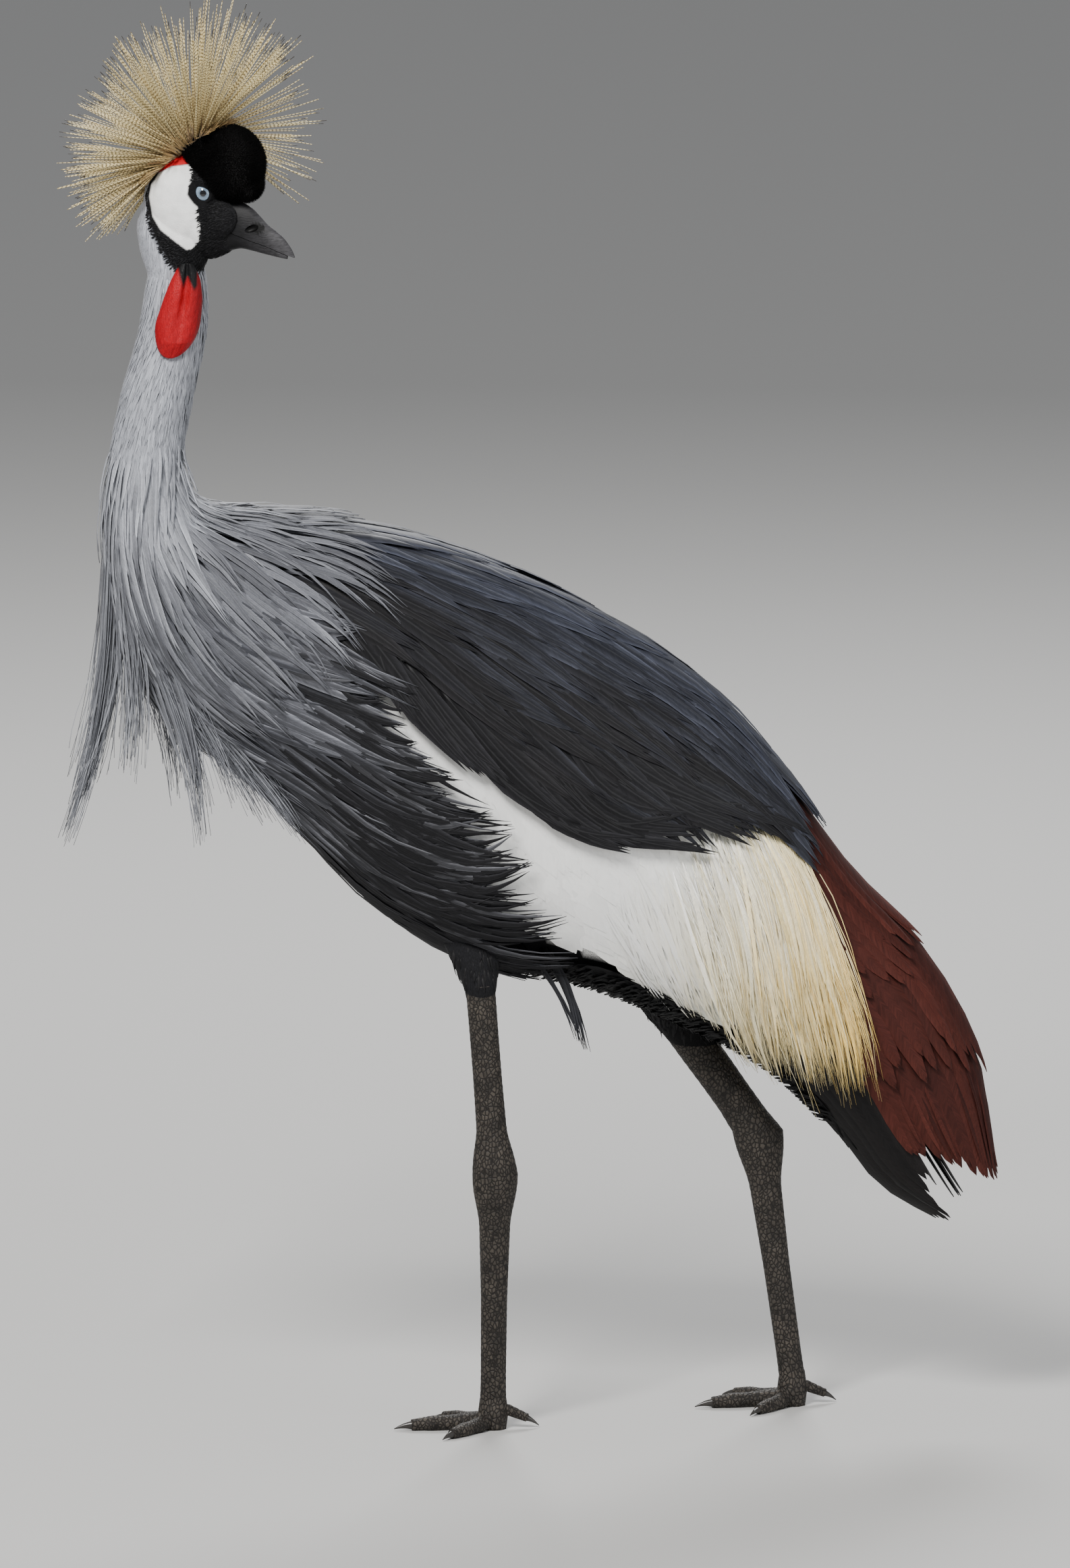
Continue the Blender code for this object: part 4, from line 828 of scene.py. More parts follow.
# %% [markdown]
# The skin's own unwrap is its station and angle on the hull, found for each point by the nearest
# place on a grid of the hull. The head takes the top of the map, unrolled round its upright axis.

# %% Map and paint of the skin
def grid_of_hull():
    ts, thetas = np.meshgrid(np.linspace(-0.5, 12.6, 260), np.linspace(0, 360, 180, endpoint=False), indexing="ij")
    side = np.where(thetas <= 180, LEFT, RIGHT)
    turned = np.where(thetas <= 180, thetas, 360 - thetas)
    return on_hull(ts, turned, skin_depth(ts, turned), side)[0].reshape(-1, 3), ts.ravel(), turned.ravel(), side.ravel()


def nearest(places, points):
    from mathutils.kdtree import KDTree
    tree = KDTree(len(places))
    for i, place in enumerate(places):
        tree.insert(place, i)
    tree.balance()
    return np.array([tree.find(p)[1] for p in points])


def head_map(points):
    local = to_head(points)
    turn = np.arctan2(local[:, 1], local[:, 0] - 0.008) / math.tau + 0.5
    return np.stack([turn, 0.84 + np.clip(local[:, 2] / 0.13, 0, 1) * 0.15], axis=1)


mesh = skin.data
points = np.empty(len(mesh.vertices) * 3, np.float32)
mesh.vertices.foreach_get("co", points)
points = points.reshape(-1, 3).astype(float)
grid, grid_t, grid_theta, grid_side = grid_of_hull()
found = nearest(grid, points)
skin_t, skin_theta, skin_side = grid_t[found], grid_theta[found], grid_side[found]
on_head = to_head(points)[:, 2] > 0.004
head_colour, bare = face_paint(points)
paint = np.where(on_head[:, None], head_colour, markings(skin_t, skin_theta))
per_point = np.where(on_head[:, None], head_map(points), hull_map(skin_t, skin_theta, skin_side))
corners = np.empty(len(mesh.loops), np.int32)
mesh.loops.foreach_get("vertex_index", corners)
add_map(mesh, "OFBake", per_point, corners)
add_paint(mesh, paint)
add_number(mesh, "bare", np.where(on_head, bare, 0.0))
print("points on the head:", int(on_head.sum()), "of", len(points))

# %% [markdown]
# Bare cheek skin is matt and finely pebbled, and the feathered parts of the face are a short black
# plush. One material does both: the attribute bare chooses between two bumps and two gloss levels.

# %% Skin material
def skin_material():
    material, tree, shader = new_material("skin_finish", 0.75, Sheen_Weight=0.03, Specular_IOR_Level=0.12)
    bare_part = attribute(tree, "bare", "Fac")
    pebbles = cells(tree, object_place(tree), 900.0)
    down = noise(tree, object_place(tree, (1, 1, 0.25)), 1400.0, 3.0)
    blotch = noise(tree, object_place(tree), 120.0, 3.0)
    tone = spread(tree, blotch, 0.3, 0.7, 0.90, 1.06)
    plush = spread(tree, down, 0.3, 0.7, 0.55, 1.45)
    one = mix(tree, bare_part, vector_of(tree, plush, plush, plush), vector_of(tree, tone, tone, tone))
    tree.links.new(mix(tree, 1.0, attribute(tree, "paint"), one, "MULTIPLY"), shader.inputs["Base Color"])
    tree.links.new(spread(tree, bare_part, 0, 1, 0.8, 0.5), shader.inputs["Roughness"])
    height = calc(tree, "ADD", calc(tree, "MULTIPLY", down, spread(tree, bare_part, 0, 1, 1.0, 0.1)),
                  calc(tree, "MULTIPLY", pebbles, spread(tree, bare_part, 0, 1, 0.0, 0.8)))
    raise_surface(tree, shader, height, 0.35, 0.0006)
    return material


face_centres = np.empty(len(mesh.polygons) * 3, np.float32)
mesh.polygons.foreach_get("center", face_centres)
face_centres = face_centres.reshape(-1, 3).astype(float)
face_areas = np.empty(len(mesh.polygons), np.float32)
mesh.polygons.foreach_get("area", face_areas)
face_areas = face_areas.astype(float)
points_of_skin, faces_of_skin = points, [list(polygon.vertices) for polygon in mesh.polygons]
mesh.materials.clear()
mesh.materials.append(skin_material())
mesh.polygons.foreach_set("use_smooth", np.ones(len(mesh.polygons), bool))
ready(skin, "bare_skin", "head", "torso", "neck_upper", "neck_middle", "neck_lower", "tail", "thigh_left", "thigh_right")

# %% [markdown]
# ## The neck
# The neck of a crane is clothed in soft narrow feathers that look like combed hair. They are laid
# from the lowest row up, each overlapping the next, and they grow longer and wider towards the foot
# of the neck. Depths are measured from the hull: the root sits in the skin, the tip just above it.

# %% Hair-like feathers of the neck
rng = np.random.default_rng(11)
t, theta, side = scatter(rng, (-0.15, 3.5), lambda t: 1.0, lambda t: 179.0, 0.0046, 0.0019)
count = len(t)
length = np.interp(t, (-0.2, 0.6, 3.5), (0.018, 0.027, 0.040)) * rng.uniform(0.8, 1.2, count)
tip_t, tip_theta = reach(t, theta, side, length, rng.normal(0, 5, count))
paths, facing = lay(t, theta, tip_t, np.clip(tip_theta, 0.5, 179.5), side,
                    [(0, -0.0040), (0.5, -0.0016), (1, -0.0006)], 4, extra=rng.uniform(-0.0005, 0.0006, count))
wide = lance(4, 0.5, 0.4, 0.8)[None] * np.interp(t, (0, 3.5), (0.0012, 0.0019))[:, None]
shade = blend(NECK_GREY, SILVER, rng.random(count) * 0.6)[:, None] * np.ones((1, 4, 1))
neck = coat("neck_hair", paths, facing, wide, 0.00018, hull_map(t, theta, side), shade, NECK_COAT, 0.15, rng, blade=False)
ready(neck, "neck_feather")

# %% [markdown]
# ## Long plumes at the foot of the neck
# A cape of long, pointed, silvery plumes falls from the foot of the neck over breast and shoulders.
# The lowest lie first, and each row above starts a little higher. Their edges are pale and their
# hearts dark, which is what draws every single plume.

# %% The cape
def shades(count, rows, root, tip, at=0.5):
    """Paint that goes from the root's colour to the tip's along each feather."""
    share = np.clip(np.linspace(0, 1, rows) / max(at * 2, 1e-6), 0, 1)
    root, tip = np.broadcast_to(root, (count, 3)), np.broadcast_to(tip, (count, 3))
    return root[:, None] * (1 - share)[None, :, None] + tip[:, None] * share[None, :, None]


t, theta, side = scatter(rng, (2.5, 5.2), lambda t: 0.5, lambda t: 179.5, 0.0112, 0.0058)
count = len(t)
CAPE_TIP = ((0, 30, 50, 66, 84, 101, 130, 180), (5.8, 5.95, 6.3, 6.5, 6.2, 6.0, 5.9, 5.6))
fall = np.interp(theta, (0, 30, 60, 100, 140, 180), (2, 8, 13, 9, 2, -2))
tip_t = t + np.interp(t, (2.5, 3.4, 5.1), (0.9, 1.3, 1.3)) * rng.uniform(0.7, 1.1, count)
limit = np.interp(theta + fall * (tip_t - t), *CAPE_TIP)
tip_t = np.minimum(tip_t, limit + rng.uniform(-0.3, 0.06, count))
tip_theta = theta + fall * (tip_t - t) + rng.normal(0, 3.0, count)
tip_t, tip_theta = clump(tip_t, np.clip(tip_theta, 0.5, 179.5), side, 5, np.interp(t, (2.6, 3.4), (0.1, 0.72)), rng)
arch = -0.30 * fall * (tip_t - t) + rng.normal(0, 1.4, count) * np.interp(t, (2.6, 3.6), (0.2, 1.0))
paths, facing = lay(t, theta, tip_t, tip_theta, side, [(0, -0.0038), (0.3, 0.0004), (0.75, 0.0034), (1, 0.0026)], 8,
                    bow=arch, extra=rng.uniform(-0.0028, 0.0030, count))
wide = lance(8, 0.45, 0.45, 1.0)[None] * (np.interp(t, (2.5, 4.6), (0.0020, 0.0029)) * rng.uniform(0.65, 1.2, count))[:, None]
low = np.clip((t - 2.9) / 1.2, 0, 1)
dark = blend(blend(NECK_GREY, PLUME_SLATE, low), SILVER, rng.uniform(0, 0.15, count))
fade = np.clip(rng.random(count) * 0.7 + np.clip((tip_t - 4.2) / 1.4, 0, 1) * 0.60, 0, 1)
pale = blend((0.40, 0.415, 0.455), (0.070, 0.072, 0.083), fade)
shadowed = (rng.random(count) < np.interp(t, (2.8, 3.6, 5.0), (0.06, 0.42, 0.66)))[:, None]
pale = np.where(shadowed, blend((0.040, 0.041, 0.048), (0.15, 0.155, 0.175), rng.random(count)), pale)
cape = coat("cape_plumes", paths, facing, wide, 0.0004, hull_map(t, theta, side),
            shades(count, 8, dark, pale, 0.45), PLUME_COAT, 0.22, rng)
ready(cape, "neck_feather")

# %% [markdown]
# The longest plumes of the breast let go of the body and hang. Each step of such a plume turns a
# little more towards the ground, and the ends are drawn out into wisps.

# %% The hanging fringe
# Bundles: tip (x, y, z), spread of the tips, plumes, stations of the roots, their theta, and how
# far the tips swing forward.
BUNDLES = (
    ((-0.404, -0.010, 0.517), 0.007, 50, (3.2, 4.1), (160, 179), 0.36),
    ((-0.386, 0.012, 0.552), 0.010, 44, (3.2, 4.2), (155, 179), 0.26),
    ((-0.356, -0.030, 0.575), 0.010, 42, (3.4, 4.3), (142, 168), 0.12),
    ((-0.330, 0.028, 0.590), 0.012, 36, (3.5, 4.5), (140, 170), 0.08),
    ((-0.291, -0.036, 0.516), 0.006, 44, (3.9, 4.6), (128, 158), -0.08),
    ((-0.301, 0.034, 0.540), 0.009, 34, (3.9, 4.6), (130, 165), -0.05),
    ((-0.268, -0.046, 0.556), 0.008, 40, (4.1, 4.8), (128, 158), -0.25),
    ((-0.240, -0.042, 0.534), 0.006, 40, (4.4, 5.0), (132, 164), -0.45),
    ((-0.207, -0.044, 0.518), 0.006, 44, (4.6, 5.2), (134, 166), -0.60),
    ((-0.226, 0.030, 0.546), 0.009, 32, (4.5, 5.1), (130, 165), -0.45),
)


def fringe(rows, half, more, loose, taper, seed):
    rng = np.random.default_rng(seed)
    columns = []
    for tip, spread_out, number, stations, thetas, swing in BUNDLES:
        n = int(number * more)
        side = np.full(n, LEFT if tip[1] < 0 else RIGHT)
        up = rng.uniform(0, 0.060, n) * loose
        ends = np.array(tip) + rng.normal(0, 1, (n, 3)) * spread_out * loose * [0.55, 0.7, 0.4]
        ends = ends + np.stack([up * swing * 0.8, 0 * up, up], axis=1)
        columns.append((rng.uniform(*stations, n), rng.uniform(*thetas, n), side, ends, np.full(n, swing)))
    t, theta, side, ends, swing = [np.concatenate(column) for column in zip(*columns)]
    count = len(t)
    root, normal = on_hull(t, theta, -0.002, side)
    along = unit(hull(t + 0.05, theta, side) - hull(t, theta, side))
    long = np.linalg.norm(ends - root, axis=1, keepdims=True)
    first = root + (along + normal * 0.08) * long * 0.36
    second = ends + np.stack([swing + rng.normal(0, 0.05, count), rng.normal(0, 0.05, count), np.ones(count)], 1) * long * 0.36
    s = np.linspace(0, 1, rows)[None, :, None]
    paths = (1 - s) ** 3 * root[:, None] + 3 * (1 - s) ** 2 * s * first[:, None]
    paths = paths + 3 * (1 - s) * s**2 * second[:, None] + s**3 * ends[:, None]
    paths = paths + np.cumsum(rng.normal(0, 0.00022, paths.shape), axis=1) * s
    facing = unit(np.repeat(normal[:, None], rows, axis=1) + [-0.25, 0, 0])
    wide = lance(rows, 0.4, 0.35, taper)[None] * (half * rng.uniform(0.6, 1.2, count))[:, None]
    dark = blend(PLUME_SLATE, SILVER, rng.uniform(0, 0.35, count))
    pale = blend((0.060, 0.062, 0.072), (0.38, 0.395, 0.435), rng.random(count) ** 1.2)
    return paths, facing, wide, hull_map(t, theta, side), shades(count, rows, dark, pale, 0.5), rng


for name, half, more, loose, taper, seed in (("breast_plumes", 0.0027, 1.0, 1.0, 1.3, 21), ("breast_wisps", 0.0007, 1.3, 1.4, 1.5, 22)):
    paths, facing, wide, places, shade, rng = fringe(11, half, more, loose, taper, seed)
    piece = coat(name, paths, facing, wide, 0.0003, places, shade, PLUME_COAT, 0.25, rng)
    ready(piece, "neck_feather")

# %% [markdown]
# ## Flank and belly
# Slate plumes sweep from the breast along the flank and over the front of the white wing patch.
# Behind them the belly is black and short-feathered, and a pointed tuft hangs behind the near thigh.

# %% Flank plumes
rng = np.random.default_rng(31)
t, theta, side = scatter(rng, (4.4, 7.3), lambda t: np.interp(t, (4.5, 5.6, 6.2), (60, 74, 96)), lambda t: 179.3, 0.0115, 0.0064)
count = len(t)
FLANK_TIP = ((60, 88, 92, 101, 120, 135, 170), (6.3, 6.55, 6.9, 7.5, 8.2, 8.5, 8.6))
tip_t = t + rng.uniform(1.3, 2.1, count)
sweep = np.interp(theta, (60, 95, 125, 160, 180), (0, -3, -9, -9, -2))
tip_theta = theta + sweep * (tip_t - t) + rng.normal(0, 2.4, count)
tip_t = np.minimum(tip_t, np.interp(tip_theta, *FLANK_TIP) + rng.uniform(-0.7, 0.12, count))
keep = tip_t > t + 0.45
t, theta, side, tip_t, tip_theta, sweep = [v[keep] for v in (t, theta, side, tip_t, tip_theta, sweep)]
count = len(t)
tip_t, tip_theta = clump(tip_t, np.clip(tip_theta, 1, 179), side, 9, np.full(count, 0.72), rng)
paths, facing = lay(t, theta, tip_t, tip_theta, side, [(0, -0.0066), (0.2, -0.0010), (0.55, 0.0014), (1, -0.0004)], 8,
                    bow=2.0 - sweep * 0.45 + rng.normal(0, 1.2, count), extra=rng.uniform(-0.0026, 0.0026, count))
wide = lance(8, 0.45, 0.45, 0.95)[None] * (0.0041 * rng.uniform(0.65, 1.2, count))[:, None]
fade = np.clip((t - 4.5) / 1.2 + rng.uniform(-0.3, 0.3, count), 0, 1)
heart = blend(PLUME_SLATE, FLANK_SLATE, fade)
ends = blend(blend((0.030, 0.031, 0.036), (0.20, 0.205, 0.23), rng.random(count) ** 1.8), (0.011, 0.0108, 0.012), fade)
frosted = (rng.random(count) < 0.20)[:, None]
ends = np.where(frosted, blend(ends, (0.12, 0.122, 0.135), 0.45 * np.ones(count)), ends)
flank = coat("flank_plumes", paths, facing, wide, 0.0004, hull_map(t, theta, side), shades(count, 8, heart, ends), FLANK_COAT, 0.26, rng)
ready(flank, "body_feather")

# %% Belly and vent
t, theta, side = scatter(rng, (7.0, 11.9), lambda t: max(edge(WHITE_EDGE, t) - 4, np.interp(t, (10, 11, 12), (150, 122, 118))), lambda t: 179.5, 0.0090, 0.0046)
count = len(t)
tip_t, tip_theta = reach(t, theta, side, rng.uniform(0.028, 0.040, count), rng.normal(0, 7, count))
under = np.interp(t, (7, 8, 14), (-0.0085, -0.0105, -0.0105))
paths, facing = lay(t, theta, tip_t, np.clip(tip_theta, 1, 179.5), side, [(0, -0.0040), (0.5, 0.0010), (1, 0.0008)], 5,
                    extra=under + rng.uniform(-0.001, 0.0015, count))
wide = lance(5, 0.5, 0.45, 0.95)[None] * np.full((count, 1), 0.0034)
shade = blend(FLANK_SLATE, NEAR_BLACK, np.clip((t - 7.2) / 1.6, 0, 1))[:, None] * np.ones((1, 5, 1))
belly = coat("belly_feathers", paths, facing, wide, 0.0004, hull_map(t, theta, side), shade, BLACK_COAT, 0.25, rng)
ready(belly, "body_feather")

# %% [markdown]
# ## The shoulders
# Broad slate feathers with pale shafts cover the back and the top of the folded wing. Their loose
# pointed tips make the ragged dark edge against the white coverts.

# %% Shoulder feathers
rng = np.random.default_rng(41)
t, theta, side = scatter(rng, (5.0, 9.45), lambda t: 1.5, lambda t: np.interp(t, (5, 5.6, 6.0, 6.4, 8.4, 9.4), (64, 66, 62, 74, 76, 42)), 0.0175, 0.0092)
count = len(t)
tip_t = t + rng.uniform(1.15, 1.7, count)
tip_theta = theta * (1 + 0.17 * (tip_t - t)) + rng.normal(0, 2.6, count)
tip_t, tip_theta = clump(tip_t, tip_theta, side, 5, np.full(count, 0.55), rng)
tip_t = np.minimum(tip_t, 10.45 + rng.uniform(-0.15, 0.1, count))
limit = edge(SHOULDER_EDGE, tip_t) + rng.uniform(-8, 8, count)
tip_theta = np.clip(tip_theta, 1, np.maximum(limit, 5))
paths, facing = lay(t, theta, tip_t, tip_theta, side, [(0, -0.0078), (0.25, -0.0034), (0.7, -0.0004), (1, -0.0012)], 8,
                    bow=rng.normal(1.5, 1.5, count), extra=rng.uniform(-0.0014, 0.0018, count))
wide = lance(8, 0.6, 0.50, 0.85)[None] * (0.0066 * rng.uniform(0.8, 1.15, count))[:, None]
# Paler and bluer towards the top of the back: a painted reflection of the sky. Further down the side the feathers are
# near black.
high = np.clip((theta - 8) / 45, 0, 1)
heart = blend(SKYLIT_BACK_SLATE, (0.0062, 0.0060, 0.0066), np.clip(high + rng.uniform(-0.2, 0.2, count), 0, 1))
ends = blend((0.040, 0.044, 0.060), (0.0100, 0.0096, 0.0105), np.clip(high + rng.uniform(-0.3, 0.3, count), 0, 1))
shoulder = coat("shoulder_feathers", paths, facing, wide, 0.0005, hull_map(t, theta, side), shades(count, 8, heart, ends),
                DARK_COAT, 0.20, rng)
ready(shoulder, "body_feather", "scapulars_left", "scapulars_right")

# %% [markdown]
# Some of the longest shoulder plumes droop in a curve over the white and end in single points. They
# are placed one by one: root (station, theta), tip (station, theta) and the sag of the curve.

# %% Drooping plumes
DROOPING = (
    (5.9, 72, 6.77, 91, 1), (6.1, 74, 7.28, 94, 2), (6.4, 76, 7.50, 93, 2), (6.8, 79, 8.19, 97, 3), (7.2, 79, 8.75, 95, 7),
    (7.3, 76, 9.43, 81, 13), (7.5, 73, 9.25, 78, 12), (7.9, 69, 9.80, 64, 9), (8.2, 65, 10.10, 50, 8), (8.5, 60, 10.35, 40, 7),
)
each = np.repeat(np.array(DROOPING, float), 10, axis=0)
count = len(each)
side = np.tile([LEFT, RIGHT], count // 2)
own = np.repeat(rng.normal(0, 1, (count // 2, 2)), 2, axis=0)
t, theta = each[:, 0] + own[:, 0] * 0.08, each[:, 1] + own[:, 1] * 4
tip_t, tip_theta = each[:, 2] - np.abs(own[:, 0]) * 0.10, each[:, 3] - np.abs(own[:, 1]) * 3.5
paths, facing = lay(t, theta, tip_t, tip_theta, side, [(0, -0.0050), (0.25, -0.0012), (0.8, 0.0006), (1, 0.0002)], 12,
                    bow=each[:, 4], extra=rng.uniform(-0.0004, 0.0006, count))
wide = lance(12, 0.5, 0.55, 1.1)[None] * np.full((count, 1), 0.0072)
drooping = coat("drooping_plumes", paths, facing, wide, 0.0005, hull_map(t, theta, side),
                shades(count, 12, (0.0058, 0.0057, 0.0064), (0.0100, 0.0098, 0.0112)), DARK_COAT, 0.15, rng)
ready(drooping, "body_feather")

# %% [markdown]
# ## The white of the wing
# The upper wing coverts are white and so smooth that only faint lines part them. They are wide, thin
# and laid close, and they slant down and back from under the shoulder feathers.

# %% White coverts
t, theta, side = scatter(rng, (5.5, 9.7), lambda t: max(edge(SHOULDER_EDGE, t) - 46, 22), lambda t: edge(WHITE_EDGE, t) - 24, 0.0170, 0.0120)
count = len(t)
tip_t = t + 0.66 * rng.uniform(0.9, 1.1, count)
tip_theta = theta + np.interp(theta, (40, 120), (34, 26)) * rng.uniform(0.9, 1.1, count)
tip_theta = np.minimum(tip_theta, edge(WHITE_EDGE, tip_t) + rng.uniform(-3, 1.5, count))
paths, facing = lay(t, theta, tip_t, tip_theta, side, [(0, -0.0128), (0.35, -0.0112), (1, -0.0105)], 6,
                    extra=rng.uniform(-0.0002, 0.0002, count))
wide = lance(6, 0.75, 0.6, 0.55)[None] * np.full((count, 1), 0.0165)
shade = np.ones((count, 6, 3)) * np.array(WHITE)
# Less blue towards the hind end: partly the cream of the hind coverts, partly a painted warm light bounced up from the
# floor.
shade[..., 2] *= np.interp(t, (8.2, 9.6), (1.0, 0.90))[:, None]
white = coat("white_coverts", paths, facing, wide, 0.00016, hull_map(t, theta, side), shade, WHITE_COAT, 0.02, rng, blade=False)
ready(white, "white_feather", "coverts_left", "coverts_right")

# %% [markdown]
# ## Straw-coloured plumes
# At the hind end of the white wing hang long, hair-fine plumes, cream where they leave the wing and
# straw-coloured at their tips. A few hundred narrow vanes give them body, and a few hundred more
# strands, a third of a millimetre wide, give them their silky edge.

# %% Straw plumes
def straw(count, rows, half, seed, spill):
    rng = np.random.default_rng(seed)
    share = rng.random(count) ** 0.85
    side = rng.choice([LEFT, RIGHT], count)
    t = 9.25 + 0.85 * share + rng.normal(0, 0.10, count)
    theta = 90 - 42 * share + rng.normal(0, 4, count) + rng.uniform(-10, 12, count) * (share < 0.75)
    tip_t = 10.80 + 1.25 * share + rng.normal(0, spill, count)
    tip_theta = 164 - 56 * share + rng.normal(0, 3 + 12 * spill, count)
    cut = rng.uniform(0.50, 1.05, count) ** 0.8
    tip_t, tip_theta = t + (tip_t - t) * cut, theta + (tip_theta - theta) * cut
    tip_t, tip_theta = clump(tip_t, tip_theta, side, 12, np.full(count, 0.5), rng)
    paths, facing = lay(t, theta, tip_t, np.minimum(tip_theta, 176), side,
                        [(0, -0.0085), (0.2, -0.0040), (0.5, 0.0004), (1, 0.0040)], rows,
                        bow=rng.normal(-3, 3.5, count), extra=rng.uniform(-0.0028, 0.0030, count))
    paths = paths + np.cumsum(rng.normal(0, 0.0003, paths.shape), axis=1)
    wide = lance(rows, 0.35, 0.45, 0.9)[None] * (half * rng.uniform(0.7, 1.2, count))[:, None]
    golden = np.clip(rng.normal(0.85 * share, 0.28), 0, 1)
    root = blend(WHITE, CREAM, np.clip(golden * 1.4, 0, 1))
    tip = blend(CREAM, STRAW, golden)
    return paths, facing, wide, hull_map(t, theta, side), shades(count, rows, root, tip, 0.42), rng


for name, number, half, seed, spill in (("straw_plumes", 330, 0.0025, 51, 0.10), ("straw_strands", 1700, 0.00045, 52, 0.18)):
    paths, facing, wide, places, shade, rng = straw(number, 8, half, seed, spill)
    piece = coat(name, paths, facing, wide, 0.00022, places, shade, GOLD_COAT, 0.3, rng)
    ready(piece, "gold_feather", *(("plumes_left", "plumes_right") if name == "straw_plumes" else ()))

# %% [markdown]
# The white feathers in front of them turn cream towards the same line, and a few hang past the edge
# of the wing as filaments.

# %% Cream filaments
rng = np.random.default_rng(55)
count = 420
side = rng.choice([LEFT, RIGHT], count)
t = 8.5 + 1.0 * rng.random(count) ** 0.8
theta = edge(SHOULDER_EDGE, t) + rng.uniform(2, 26, count)
tip_t, tip_theta = t + rng.uniform(0.7, 1.25, count), theta + rng.uniform(30, 62, count)
tip_theta = np.minimum(tip_theta, edge(WHITE_EDGE, tip_t) + rng.uniform(-14, 3, count))
paths, facing = lay(t, theta, tip_t, tip_theta, side, [(0, -0.0118), (0.3, -0.0098), (1, -0.0084)], 7,
                    bow=rng.normal(-1, 2, count), extra=rng.uniform(-0.0006, 0.0010, count))
wide = lance(7, 0.4, 0.45, 0.8)[None] * (0.0016 * rng.uniform(0.4, 1.3, count))[:, None]
near = np.clip((t - 8.5) / 1.0, 0, 1)
cream = coat("cream_filaments", paths, facing, wide, 0.00025, hull_map(t, theta, side),
             shades(count, 7, blend(WHITE, CREAM, near * 0.5), blend(WHITE, CREAM, near), 0.5), WHITE_COAT, 0.2, rng, blade=False)
ready(cream, "gold_feather")

# %% [markdown]
# ## Chestnut, black and tail feathers
# The long secondaries are chestnut and droop over the tail in three overlapping tiers. Their barbs
# part near the tip, so each feather of the longest tier gets a narrow strip of uneven length at its
# end. The black primaries come out below them, and the tail feathers lie between both wings.

# %% Chestnut secondaries
def rear_tier(name, root_t, low, high, tips, number, half, depths, material, colours, seed, frays=0, ragged=0.13):
    """One tier of long feathers on both wings. tips gives tip theta and station for a root theta."""
    rng = np.random.default_rng(seed)
    theta = np.tile(np.linspace(low, high, number), 2) + rng.normal(0, 1.2, number * 2)
    side = np.repeat([LEFT, RIGHT], number)
    count = number * 2
    t = root_t + rng.normal(0, 0.06, count)
    tip_theta = np.interp(theta, tips[0], tips[1]) + rng.normal(0, 1.5, count)
    tip_t = np.interp(theta, tips[0], tips[2]) + rng.uniform(-ragged, 0.04, count)
    parts = [(t, theta, tip_t, tip_theta, side, np.full(count, half), np.zeros(count))]
    for _ in range(frays):
        swing = rng.normal(0, 2.6, count)
        parts.append((t + (tip_t - t) * 0.55, theta + (tip_theta - theta) * 0.55 + swing * 0.8, tip_t + rng.uniform(-0.16, 0.02, count),
                      tip_theta + swing * 1.5, side, np.full(count, half * 0.20), np.full(count, 0.0012)))
    t, theta, tip_t, tip_theta, side, halves, lift = [np.concatenate(column) for column in zip(*parts)]
    count = len(t)
    tip_t = np.minimum(tip_t, 14.22)
    paths, facing = lay(t, theta, tip_t, tip_theta, side, depths, ROUND_TIP, bow=np.interp(theta, (0, 110), (-3, 3)),
                        extra=rng.uniform(-0.0010, 0.0012, count) + lift)
    wide = lance(ROUND_TIP, 0.7, 0.72, 0.5)[None] * (halves * rng.uniform(0.88, 1.12, count))[:, None]
    root, tip = [blend(*pair, rng.random(count)) for pair in colours]
    return coat(name, paths, facing, wide, 0.00045, hull_map(t, theta, side), shades(count, 9, root, tip, 0.5), material, 0.34, rng)


BROWNS = ((CHESTNUT_DARK, CHESTNUT), (CHESTNUT, (0.076, 0.0185, 0.0132)))
LOW_TIPS = ((10, 27, 42, 57, 73, 96), (21, 40, 59, 77, 97, 121), (14.20, 14.15, 13.95, 13.70, 13.40, 12.95))
HIGH_TIPS = ((10, 35, 51, 68, 96), (18, 49, 68, 88, 118), (13.2, 13.05, 12.8, 12.5, 12.05))
SHORT_TIPS = ((5, 35, 51, 68, 100), (10, 43, 60, 80, 118), (11.9, 11.9, 11.8, 11.6, 11.3))
long_tier = rear_tier("secondaries_long", 10.75, 9, 92, LOW_TIPS, 17, 0.0100,
                      [(0, -0.0125), (0.17, -0.0105), (0.6, -0.0080), (1, -0.0060)], CHESTNUT_COAT, BROWNS, 61, frays=1)
ready(long_tier, "chestnut_feather", "secondaries_left", "secondaries_right")
middle_tier = rear_tier("secondaries_middle", 10.25, 8, 90, HIGH_TIPS, 17, 0.0096,
                        [(0, -0.0115), (0.2, -0.0080), (0.6, -0.0052), (1, -0.0030)], CHESTNUT_COAT, BROWNS, 62, ragged=0.45)
ready(middle_tier, "chestnut_feather")
short_tier = rear_tier("secondaries_short", 9.75, 4, 84, SHORT_TIPS, 16, 0.0088,
                       [(0, -0.0100), (0.2, -0.0062), (0.6, -0.0034), (1, -0.0014)], CHESTNUT_COAT, BROWNS, 63, ragged=0.45)
ready(short_tier, "chestnut_feather")

# %% Black primaries
BLACKS = ((NEAR_BLACK, (0.009, 0.008, 0.008)), ((0.006, 0.0056, 0.006), (0.014, 0.012, 0.012)))
LAST_TIPS = ((104, 122, 136, 150, 166), (117, 132, 143, 154, 167), (13.25, 13.6, 13.85, 13.9, 13.8))
primaries = rear_tier("primaries", 10.5, 104, 166, LAST_TIPS, 11, 0.0082,
                      [(0, -0.0135), (0.17, -0.0115), (0.6, -0.0092), (1, -0.0070)], BLACK_COAT, BLACKS, 64)
ready(primaries, "quill_feather", "primaries_left", "primaries_right")


# %% Tail feathers
def inside_point(t, across, down):
    """A place inside the body: out from its middle plane, and down from its middle towards the belly."""
    row = hull_row(np.array(t))
    back, belly = row[0:2], row[2:4]
    middle = (back + belly) / 2 + (belly - back) / np.linalg.norm(belly - back) * down
    return np.array([middle[0], across, middle[1]])


